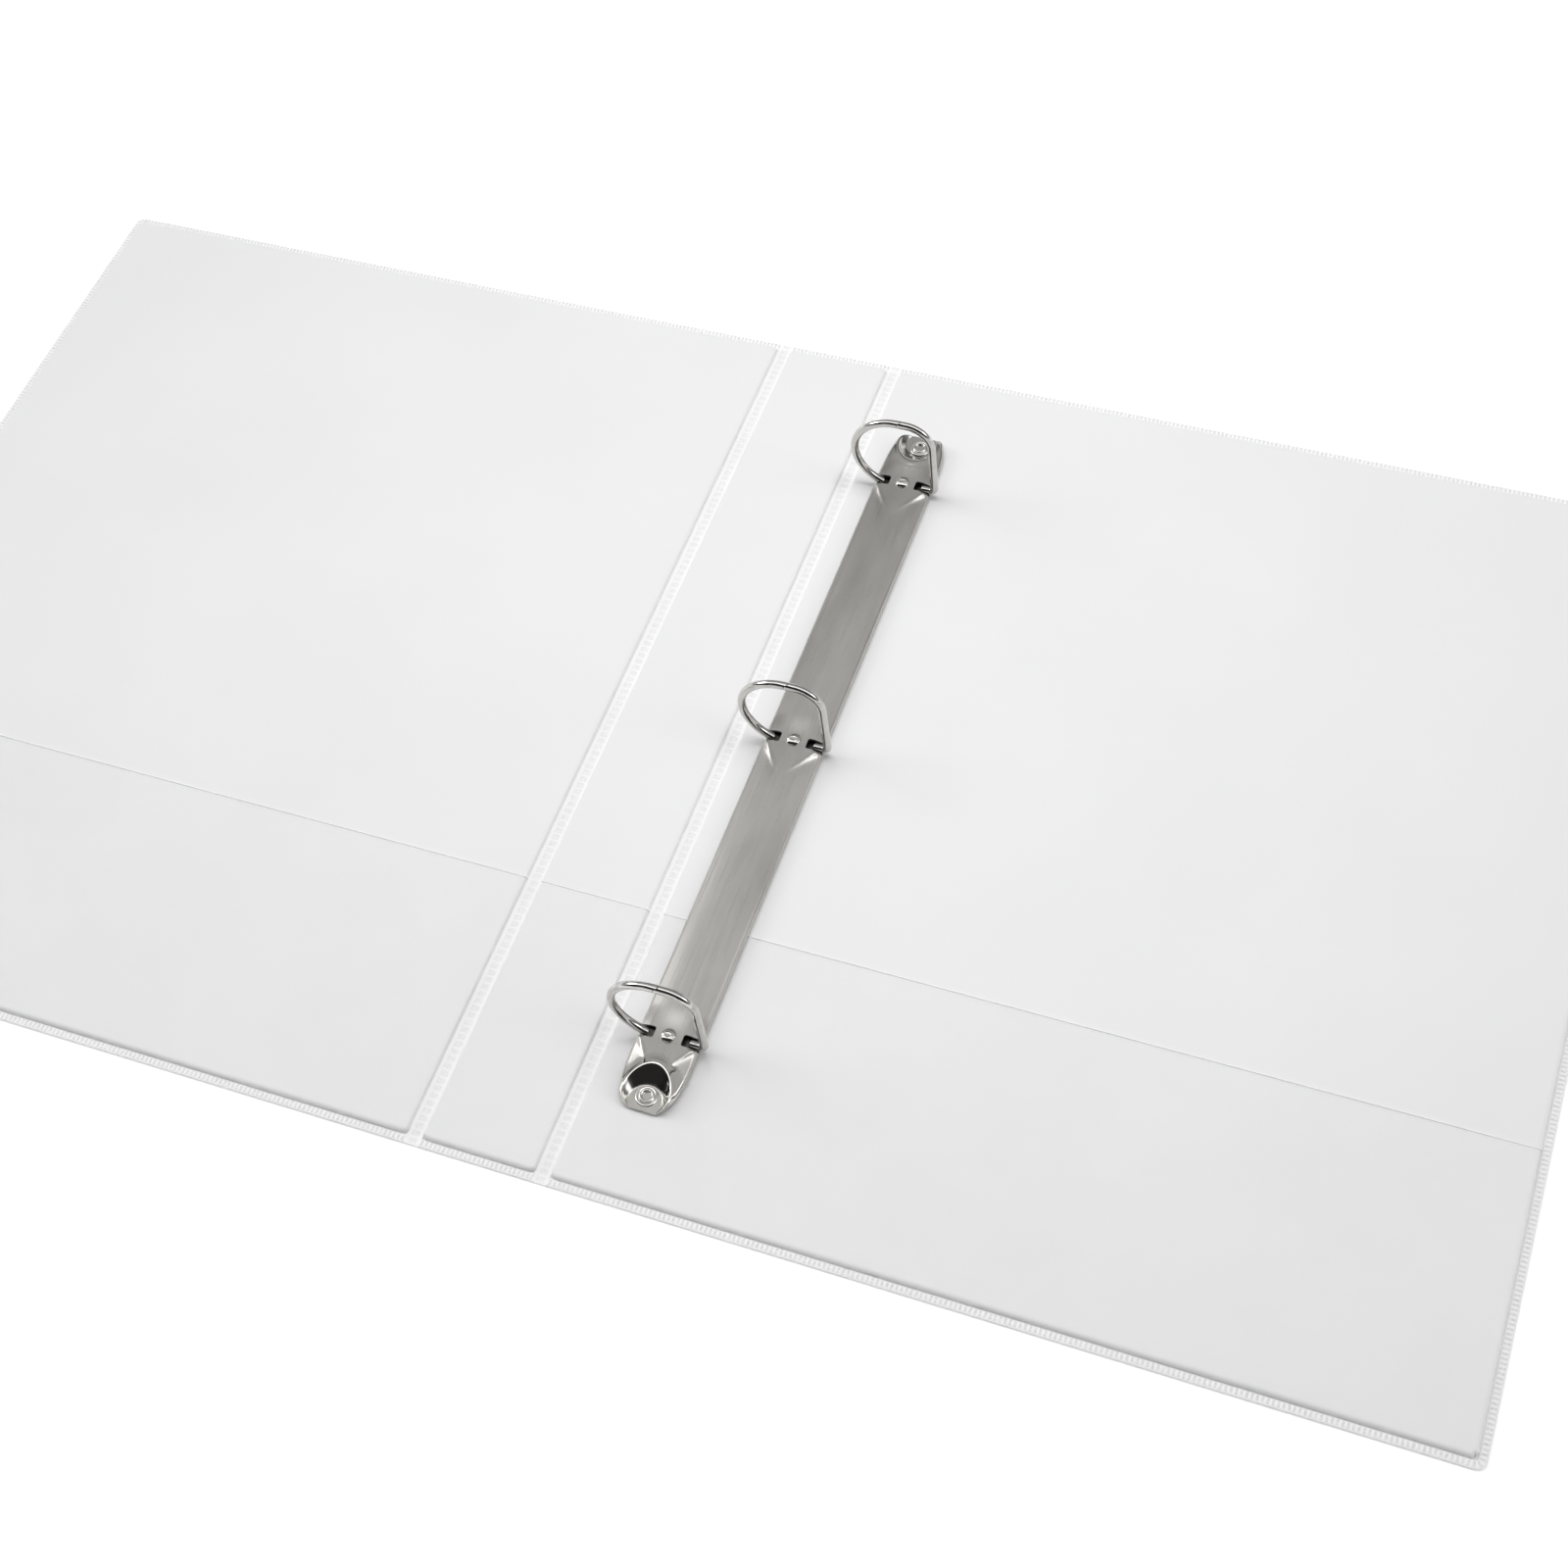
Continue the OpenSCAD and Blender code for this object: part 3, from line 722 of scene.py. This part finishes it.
def half_width(v):
    """Half width of the housing at a distance v from its middle: straight, then tapered to a round end."""
    far = np.clip((v - TAPER_Y) / TAPER_L, 0, 0.98)
    return HALF_W * (1 - far ** 3) ** 0.3


def hood_level(u, v):
    """0 at the foot of the end hood's sloping wall, 1 at its rim, over the plan."""
    shift, grow = HOOD_FOOT_Y - HOOD_RIM_Y, HOOD_RIM_R - HOOD_FOOT_R
    w = v - HOOD_FOOT_Y
    a = shift ** 2 - grow ** 2
    b = 2 * (shift * w - grow * HOOD_FOOT_R)
    c = u ** 2 + w ** 2 - HOOD_FOOT_R ** 2
    root = np.sqrt(np.maximum(b * b - 4 * a * c, 0))
    return np.where(c < 0, 0.0, (-b - root) / (2 * a))


def station_press(arch, u, v):
    """Height one ring station adds: pressed flat, with two ridges that run off in a V towards the foot."""
    line = CREASE_END - CREASE_START
    length = np.linalg.norm(line)
    along = ((np.abs(u) - CREASE_START[0]) * line[0] + (-v - CREASE_START[1]) * line[1]) / length
    inside = ((CREASE_START[0] - np.abs(u)) * line[1] + (-v - CREASE_START[1]) * line[0]) / length
    flat = FLAT_Z + (CROWN_Z - FLAT_Z) * np.clip(-v / CREASE_END[1], 0, 1) ** 2
    fade = 1 - smoothstep(along / length)
    facet = smoothstep((inside + 0.25 * MM) / (0.7 * MM)) * fade ** 0.5
    shoulder = np.where(flat > arch, np.exp(np.minimum(inside, 0) / (0.7 * MM)), 0) * fade
    foot_side = np.maximum(facet, shoulder * smoothstep((-v - 1.2 * MM) / (0.6 * MM)))
    foot_side = np.where(-v < CREASE_START[1], 1.0, foot_side)
    head_side = 1 - smoothstep((v - 1.6 * MM) / (8 * MM))
    ridge = 0.18 * MM * np.exp(-(inside / (0.55 * MM)) ** 2) * (1 - smoothstep((along / length - 0.6) / 0.4))
    ridge = ridge * smoothstep((-v - 1.7 * MM) / (0.8 * MM)) * smoothstep(along / (1.2 * MM))
    step = np.minimum(flat - arch, np.where(v < -SLOT_HALF, 0.8 * MM, 0.5 * MM))
    return step * np.where(v < 0, foot_side, head_side) + ridge


def housing_top(u, y):
    """Height of the housing's outer surface."""
    v = np.abs(y)
    arch = CROWN_Z - (ARCH_R - np.sqrt(ARCH_R ** 2 - u ** 2))
    past_rim = np.hypot(u, v - HOOD_RIM_Y) - HOOD_RIM_R
    clear = smoothstep((past_rim + 0.4 * MM) / (3 * MM))
    pressed = arch
    for station in RING_Y:
        pressed = pressed + clear * station_press(arch, u, y - (station - MECH_Y))
    drop = np.clip((v - DROP_Y) / (HALF_L - DROP_Y), 0, 1)
    body = TONGUE_Z + (pressed - TONGUE_Z) * (0.28 + 0.72 * np.sqrt(np.maximum(1 - drop ** 2.2, 0)))
    level = hood_level(u, v)
    swell = 0.12 * np.sin(math.pi * np.clip(level, 0, 1))
    wall = TONGUE_Z + (CROWN_Z + 0.5 * MM - TONGUE_Z) * (level + swell)
    soft = 0.2 * MM
    near = np.where(v > HOOD_RIM_Y - HOOD_RIM_R - 4 * MM, 1.0, 0.0)
    blended = -soft * np.logaddexp(-body / soft, -wall / soft)
    rim = 0.36 * MM * np.exp(-((body - wall) / (0.7 * MM)) ** 2)
    top = body + near * (blended + rim - body)
    edge = half_width(v) - np.abs(u)
    over = np.clip(1 - edge / EDGE_ROLL, 0, 1)
    return top - 0.9 * EDGE_ROLL * (1 - np.sqrt(np.maximum(1 - over ** 2, 0)))


def housing_rows():
    """Places along the housing, close together where its shape changes."""
    rows = [np.arange(-HALF_L + 20 * MM, HALF_L - 20 * MM, 4 * MM)]
    for station in RING_Y:
        middle = station - MECH_Y
        rows.append(np.arange(middle - 15 * MM, middle + 12 * MM, 0.4 * MM))
    turn = np.linspace(0, math.pi / 2, 110)
    end = HALF_L - 20 * MM + 20 * MM * (0.55 * np.sin(turn) + 0.45 * turn / (math.pi / 2))
    rows += [end, -end]
    y = np.unique(np.round(np.concatenate(rows), 6))
    keep = [y[0]]
    for value in y[1:-1]:
        if value - keep[-1] > 0.08 * MM and y[-1] - value > 0.03 * MM:
            keep.append(value)
    return np.array(keep + [y[-1]])


def housing_grid(inset, drop):
    """One skin of the housing, with its side walls down to the base."""
    y = housing_rows()
    border = np.array([0, 0.003, 0.01, 0.02, 0.034, 0.05, 0.07, 0.09])
    s = np.concatenate([border - 1, np.linspace(-0.892, 0.892, 81), (1 - border)[::-1]])
    gs, gy = np.meshgrid(s, y * (HALF_L - inset) / HALF_L)
    width = half_width(np.abs(y))[:, None]
    u = gs * (width - inset)
    z = np.maximum(housing_top(gs * width, y[:, None] + 0 * gs) - drop, BASE_Z + 0.02 * MM)
    skirt = np.linspace(0, 1, 4)[1:]
    tuck = UNDERCUT * skirt ** 1.5
    left = [np.stack([u[:, 0] + t, gy[:, 0], z[:, 0] + (BASE_Z - z[:, 0]) * k], -1)
            for k, t in zip(skirt[::-1], tuck[::-1])]
    right = [np.stack([u[:, -1] - t, gy[:, -1], z[:, -1] + (BASE_Z - z[:, -1]) * k], -1)
             for k, t in zip(skirt, tuck)]
    top = np.stack([u, gy, z], -1)
    return np.concatenate([np.stack(left, 1), top, np.stack(right, 1)], 1)


def close_ends(grid):
    """Adds a row at each end that drops the skin to the base."""
    first, last = grid[0].copy(), grid[-1].copy()
    first[:, 2] = BASE_Z
    last[:, 2] = BASE_Z
    return np.concatenate([first[None], grid, last[None]])


def slot_cutter(u_sign, y):
    """Prism that cuts one ring slot, open to the housing's side, with rounded inner corners."""
    corner = 0.7 * MM
    inner, outer = SLOT_END, HALF_W + 2 * MM
    outline = [(outer, -SLOT_HALF), (outer, SLOT_HALF)]
    outline += arc_points((inner + corner, SLOT_HALF - corner), corner, 90, 180, 8)
    outline += arc_points((inner + corner, -SLOT_HALF + corner), corner, 180, 270, 8)
    low, high = BASE_Z + 0.85 * MM, CROWN_Z + 3 * MM
    verts = [(u_sign * u, y + v, z) for z in (low, high) for u, v in outline]
    n = len(outline)
    faces = [tuple(range(n)), tuple(range(n, 2 * n))[::-1]]
    faces += [(k, (k + 1) % n, n + (k + 1) % n, n + k) for k in range(n)]
    return mesh_object("cutter", verts, faces, NICKEL, 30)


def cut(obj, cutters):
    """Cuts the cutters out of a mesh and removes them."""
    for cutter in cutters:
        modifier = obj.modifiers.new("cut", "BOOLEAN")
        modifier.operation = "DIFFERENCE"
        modifier.solver = "EXACT"
        modifier.object = cutter
    apply_modifiers(obj)
    for cutter in cutters:
        bpy.data.objects.remove(cutter)


def apply_modifiers(obj):
    bpy.context.view_layer.update()
    graph = bpy.context.evaluated_depsgraph_get()
    mesh = bpy.data.meshes.new_from_object(obj.evaluated_get(graph))
    obj.modifiers.clear()
    obj.data = mesh


def mark_polish(obj):
    """Stores on the mesh how far the press has polished each point: fully in the end hoods."""
    points = np.empty(len(obj.data.vertices) * 3)
    obj.data.vertices.foreach_get("co", points)
    u, y = points.reshape(-1, 3)[:, 0], points.reshape(-1, 3)[:, 1]
    level = hood_level(u, np.abs(y))
    inside = (1 - smoothstep((level - 1.0) / 0.35)) * (np.abs(y) > HOOD_RIM_Y - HOOD_RIM_R - 5 * MM)
    tongue = smoothstep(level / 0.1)
    polish = obj.data.attributes.new("polish", "FLOAT", "POINT")
    polish.data.foreach_set("value", (inside * tongue).astype(np.float32))


def make_housing():
    outer = close_ends(housing_grid(0, 0))
    inner = close_ends(housing_grid(0.7 * STEEL_T, STEEL_T))
    verts, faces = closed_sheet(outer, inner)
    obj = mesh_object("arched_housing", verts, faces, NICKEL, 38)
    cut(obj, [slot_cutter(side, y - MECH_Y) for y in RING_Y for side in (-1, 1)])
    mark_polish(obj)
    obj.data.transform(Matrix.Translation((MECH_X, MECH_Y, 0)))
    shade(obj, 50)
    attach(obj, "back_cover")
    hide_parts("housing")


# ---- Rings ----

WIRE_R = 1.3 * MM
LEG_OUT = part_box("right_ring_middle")[1].x - WIRE_R - MECH_X
ROUND_R = 16 * MM
SHOULDER_R = 8.4 * MM
ROUND_U = LEG_OUT - SHOULDER_R - 2.65 * MM
WIRE_TOP = RING_TOP - WIRE_R
HOOK_R = 2 * MM
PIVOT_Z = next(j["pos_m"][2] for j in frame["joints"] if j["name"] == "left_rings_open")
HOOK_Z = PIVOT_Z + 1.7 * MM
FOOT_U = 6.7 * MM
JOINT_U = 0.6 * MM
TONGUE_L = 1.6 * MM
JOINT_GAP = 0.12 * MM
ROUND_END = 243
SECTION = 40


def wire_sections(path, tangents):
    """Round sections square to a path in the plane of the ring, from plan (u, z) points."""
    rows = []
    for (u, z), (tu, tz) in zip(path, tangents):
        rows.append([(u + WIRE_R * math.cos(a) * -tz, WIRE_R * math.sin(a), z + WIRE_R * math.cos(a) * tu)
                     for a in np.linspace(0, 2 * math.pi, SECTION, endpoint=False)])
    return np.array(rows)


def tangents_of(path):
    """Unit directions along a path."""
    path = np.array(path)
    steps = np.gradient(path, axis=0)
    return steps / np.linalg.norm(steps, axis=1)[:, None]


def bevel_end(rows, direction, amount):
    """Rounds the wire's cut end by adding smaller sections beyond it."""
    last = rows[-1]
    centre = last.mean(0)
    extra = []
    for k in range(1, 5):
        angle = math.pi / 2 * k / 4
        scale = 1 - amount / WIRE_R * (1 - math.cos(angle))
        extra.append(centre + (last - centre) * scale + np.array(direction) * amount * math.sin(angle))
    return np.concatenate([rows, np.array(extra)])


def joint_caps(rows, sign, gap):
    """Shears the first section, at the top of the ring, on to the pointed joint, with a broken edge."""
    _, y, z = rows[0].T
    reach = JOINT_U + gap + TONGUE_L / 2 - TONGUE_L * np.abs(y) / WIRE_R
    lip = np.stack([reach, 0.9 * y, WIRE_TOP + 0.9 * (z - WIRE_TOP)], -1)
    edge = np.stack([reach - sign * 0.12 * MM, y, z], -1)
    return np.concatenate([lip[None], edge[None], rows[1:]])


def cap_strip(count):
    """Faces that close a pointed end, joining section points with the same offset to each side."""
    faces = []
    order = [(count // 4 + k) % count for k in range(count)]
    for k in range(count // 2):
        quad = (order[k], order[k + 1], order[count - k - 1], order[(count - k) % count])
        faces.append(tuple(dict.fromkeys(quad)))
    return faces


def ring_half(path, sign, gap, end_direction):
    """One half of a ring from its pointed joint to its foot."""
    rows = wire_sections(path, tangents_of(path))
    rows = bevel_end(rows, end_direction, 0.25 * MM)
    rows = joint_caps(rows, sign, gap)
    verts, faces = tube(rows, cap=False)
    n = rows.shape[0]
    faces.append(tuple((n - 1) * SECTION + j for j in range(SECTION)))
    faces += cap_strip(SECTION)
    return verts, faces


def peg(u):
    """Staked peg under a ring's foot, through its leaf."""
    low, high = PIVOT_Z - 0.55 * MM, HOOK_Z
    r = 0.9 * MM
    profile = [(r * 0.8, low), (r, low + 0.15 * MM), (r, high)]
    turns = np.linspace(0, 2 * math.pi, 24, endpoint=False)
    rows = [[(u + q * math.cos(a), q * math.sin(a), z) for a in turns] for q, z in profile]
    return tube(rows)


def round_path():
    """Centre line of the round half, from the joint down to its foot in the leaf."""
    arc = arc_points((ROUND_U, WIRE_TOP - ROUND_R), ROUND_R, 97.5, ROUND_END, 84)
    return [(JOINT_U - TONGUE_L * 0.75, WIRE_TOP)] + arc


def straight_path():
    """Centre line of the straight half: top, shoulder, leg, hook and foot."""
    shoulder_u, shoulder_z = LEG_OUT - SHOULDER_R, WIRE_TOP - SHOULDER_R
    path = [(u, WIRE_TOP) for u in np.linspace(JOINT_U + TONGUE_L * 0.8, shoulder_u, 4)[:-1]]
    path += arc_points((shoulder_u, shoulder_z), SHOULDER_R, 90, 0, 40)
    path += [(LEG_OUT, z) for z in np.linspace(shoulder_z, HOOK_Z + HOOK_R, 12)[1:-1]]
    path += arc_points((LEG_OUT - HOOK_R, HOOK_Z + HOOK_R), HOOK_R, 0, -90, 18)
    path += [(u, HOOK_Z) for u in np.linspace(LEG_OUT - HOOK_R, FOOT_U + 0.25 * MM, 5)[1:]]
    return path


def merge(parts):
    """Vertices and faces of several parts as one."""
    verts, faces = [], []
    for v, f in parts:
        first = sum(len(x) for x in verts)
        verts.append(np.array(v))
        faces += [tuple(first + i for i in face) for face in f]
    return np.concatenate(verts), faces


def make_rings():
    end = math.radians(ROUND_END + 90)
    halves = (("left", round_path(), 1, 0.0, (math.cos(end), 0, math.sin(end)), -7.4 * MM),
              ("right", straight_path(), -1, JOINT_GAP, (-1, 0, 0), 7.3 * MM))
    for side, path, sign, gap, direction, peg_u in halves:
        verts, faces = merge([ring_half(path, sign, gap, direction), peg(peg_u)])
        for place, y in zip(PLACES, RING_Y):
            obj = mesh_object(f"{side}_half_ring_{place}", verts + np.array((MECH_X, y, 0)), faces, RING, 40)
            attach(obj, f"{side}_ring_set")
            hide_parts(f"{side}_ring_{place}")


# ---- Rivets ----

def make_guide_rivets():
    """Round-headed rivets with a small sunk flat on top."""
    r, low = 2.4 * MM, 0.15 * MM
    rise = 1.25 * MM
    dome = [(r * math.sin(a), low + rise * math.cos(a)) for a in np.radians(np.linspace(26, 90, 18))]
    profile = [(0, 1.05 * MM), (0.8 * MM, 1.05 * MM), (0.95 * MM, 1.14 * MM)] + dome
    profile += [(r, 0.05 * MM), (r - 0.12 * MM, 0), (1.2 * MM, 0), (1.2 * MM, -4 * MM), (0, -4 * MM)]
    for place, y in zip(PLACES, RING_Y):
        obj = lathe(f"guide_rivet_head_{place}", profile, (MECH_X, y, FLAT_Z - 0.05 * MM), RIVET)
        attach(obj, "back_cover")
        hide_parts(f"guide_rivet_{place}")


def make_mount_rivets():
    """Hollow rivets with a domed flange above the tongue and a clinched one behind the board."""
    low = BOARD_LO[2] + 0.03 * MM - TONGUE_Z
    flange = [(3.3 * MM, 0.0), (3.36 * MM, 0.12 * MM), (3.28 * MM, 0.24 * MM), (3.05 * MM, 0.33 * MM),
              (2.75 * MM, 0.34 * MM), (2.5 * MM, 0.27 * MM), (2.36 * MM, 0.2 * MM)]
    curl = arc_points((1.85 * MM, 0.3 * MM), 0.5 * MM, -5, 190, 18)
    bore = [(1.3 * MM, -0.15 * MM), (1.22 * MM, -0.5 * MM), (1.0 * MM, -0.62 * MM), (0.5 * MM, -0.42 * MM)]
    tail = [(0.3 * MM, -1.2 * MM), (1.3 * MM, -1.5 * MM), (1.3 * MM, low), (2.9 * MM, low),
            (3.0 * MM, low + 0.3 * MM), (2.0 * MM, low + 0.36 * MM), (2.0 * MM, -0.02 * MM)]
    profile = flange + curl + bore + tail
    for end, y in zip(("top", "bottom"), RIVET_Y):
        obj = lathe(f"hollow_rivet_{end}", profile, (MECH_X, y, TONGUE_Z), RIVET)
        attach(obj, "back_cover")
        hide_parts(f"mount_rivet_{end}")


# ---- CAD parts that keep their shape ----

def dress_cad_nodes():
    """Gives every CAD node the material of its slot."""
    looks = {"greyboard": BOARD, "white_film": WHITE, "clear_film": CLEAR, "welded_film": WELD,
             "nickel_steel": NICKEL, "leaf_steel": LEAF_IN_PAINTED_SHADE, "ring_wire": RING, "rivet_metal": RIVET}
    slots = {row["node"]: row["material_slot"] for row in frame["record"]["subparts"]}
    for name, obj in frame["nodes"].items():
        obj.data.materials.clear()
        obj.data.materials.append(looks[slots[name]])


# ---- Floor, light and camera ----

FLOOR_HALF = 6.0
FLOOR_Z = -0.2 * MM


def make_floor():
    """Pale paper floor, lit a little from within so that it stays white."""
    verts = [(x * FLOOR_HALF, y * FLOOR_HALF, FLOOR_Z) for x, y in ((-1, -1), (1, -1), (1, 1), (-1, 1))]
    material, shader = new_material("floor_paper", (0.96, 0.96, 0.96), 0.8)
    shader.inputs["Emission Color"].default_value = (1, 1, 1, 1)
    shader.inputs["Emission Strength"].default_value = 0.25
    links = material.node_tree.links
    links.new(ramp(material, noise(material, 3), 0.3, 0.7, (0.95, 0.95, 0.95), (0.97, 0.97, 0.97)),
              shader.inputs["Base Color"])
    mesh_object("floor", verts, [(0, 1, 2, 3)], material)


def area_light(name, position, target, size, power):
    """A softbox of a size in metres and a power in watts, aimed at target."""
    data = bpy.data.lights.new(name, "AREA")
    data.shape = "RECTANGLE"
    data.size, data.size_y = size
    data.energy = power
    obj = bpy.data.objects.new(name, data)
    obj.location = position
    obj.rotation_euler = (Vector(target) - Vector(position)).to_track_quat("-Z", "Y").to_euler()
    bpy.context.scene.collection.objects.link(obj)
    return obj


WORLD_LEVEL = 2.2
HORIZON_LEVELS = ((0.0, 0.3), (0.06, 0.26), (0.12, 0.0))
HEIGHT_LEVELS = ((0.0, 0.06), (0.12, 0.16), (0.3, 0.6), (0.45, 1.0))
DEPTH_LEVELS = ((0.3, 0.012), (0.39, 0.05), (0.45, 1.0), (0.54, 1.0), (0.61, 0.27), (0.78, 0.23), (1.0, 0.1))


def make_world():
    """Studio surround: a bright band overhead from side to side, mid grey behind it, dark in front."""
    world = bpy.data.worlds.new("studio")
    bpy.context.scene.world = world
    world.use_nodes = True
    nodes, links = world.node_tree.nodes, world.node_tree.links
    coords = nodes.new("ShaderNodeTexCoord")
    split = nodes.new("ShaderNodeSeparateXYZ")
    depth = nodes.new("ShaderNodeMapRange")
    depth.inputs["From Min"].default_value = -1
    links.new(coords.outputs["Generated"], split.inputs["Vector"])
    links.new(split.outputs["Y"], depth.inputs["Value"])
    height = grade(nodes, links, split.outputs["Z"], HEIGHT_LEVELS)
    side = grade(nodes, links, depth.outputs["Result"], DEPTH_LEVELS)
    product = nodes.new("ShaderNodeMix")
    product.data_type = "RGBA"
    product.blend_type = "MULTIPLY"
    product.inputs["Factor"].default_value = 1.0
    links.new(height, product.inputs["A"])
    links.new(side, product.inputs["B"])
    horizon = nodes.new("ShaderNodeMix")
    horizon.data_type = "RGBA"
    horizon.blend_type = "ADD"
    horizon.inputs["Factor"].default_value = 1.0
    links.new(product.outputs["Result"], horizon.inputs["A"])
    links.new(grade(nodes, links, split.outputs["Z"], HORIZON_LEVELS), horizon.inputs["B"])
    links.new(horizon.outputs["Result"], nodes["Background"].inputs["Color"])
    nodes["Background"].inputs["Strength"].default_value = WORLD_LEVEL
    bpy.context.scene.view_settings.view_transform = "Standard"


def grade(nodes, links, source, levels):
    """Grey level along a source value, from (position, level) stops."""
    node = nodes.new("ShaderNodeValToRGB")
    while len(node.color_ramp.elements) < len(levels):
        node.color_ramp.elements.new(0.5)
    for element, (position, level) in zip(node.color_ramp.elements, levels):
        element.position = position
        element.color = (level, level, level, 1)
    links.new(source, node.inputs["Fac"])
    return node.outputs["Color"]


def make_lights():
    """Soft light from both sides and low in front, and a near one overhead that stays out of reflections."""
    overhead = area_light("overhead_softbox", (0.04, 0.12, 0.5), (0.04, 0.1, 0), (0.4, 0.15), 0.88)
    overhead.visible_glossy = False
    area_light("left_softbox", (-1.4, 0.1, 0.75), (0, 0.05, 0), (0.7, 0.5), 4.5)
    area_light("right_softbox", (1.5, 0.2, 0.85), (0, 0.05, 0), (0.7, 0.5), 2)
    area_light("low_front_softbox", (-0.3, -1.6, 0.4), (0, 0, 0), (1.6, 0.4), 1.2)


CAMERA_AT = (0.2378, -0.3772, 0.6200)
CAMERA_AZIMUTH = 28.386
CAMERA_ELEVATION = 56.31
CAMERA_ROLL = -10.2
LENS = 54.88


def make_camera():
    """Camera at the photograph's angle."""
    data = bpy.data.cameras.new("camera")
    data.lens = LENS
    data.sensor_width = 36
    data.clip_start, data.clip_end = 0.01, 20
    camera = bpy.data.objects.new("camera", data)
    azimuth, elevation = math.radians(CAMERA_AZIMUTH), math.radians(CAMERA_ELEVATION)
    back = Vector((math.sin(azimuth) * math.cos(elevation), -math.cos(azimuth) * math.cos(elevation),
                   math.sin(elevation)))
    turn = (-back).to_track_quat("-Z", "Y").to_matrix() @ Matrix.Rotation(math.radians(CAMERA_ROLL), 3, "Z")
    camera.matrix_world = Matrix.Translation(CAMERA_AT) @ turn.to_4x4()
    bpy.context.scene.collection.objects.link(camera)
    bpy.context.scene.camera = camera


make_camera()
make_lights()
make_world()
make_floor()
dress_cad_nodes()
make_boards()
make_outer_skins()
make_inner_films()
make_welds()
make_pockets()
make_housing()
make_rings()
make_guide_rivets()
make_mount_rivets()
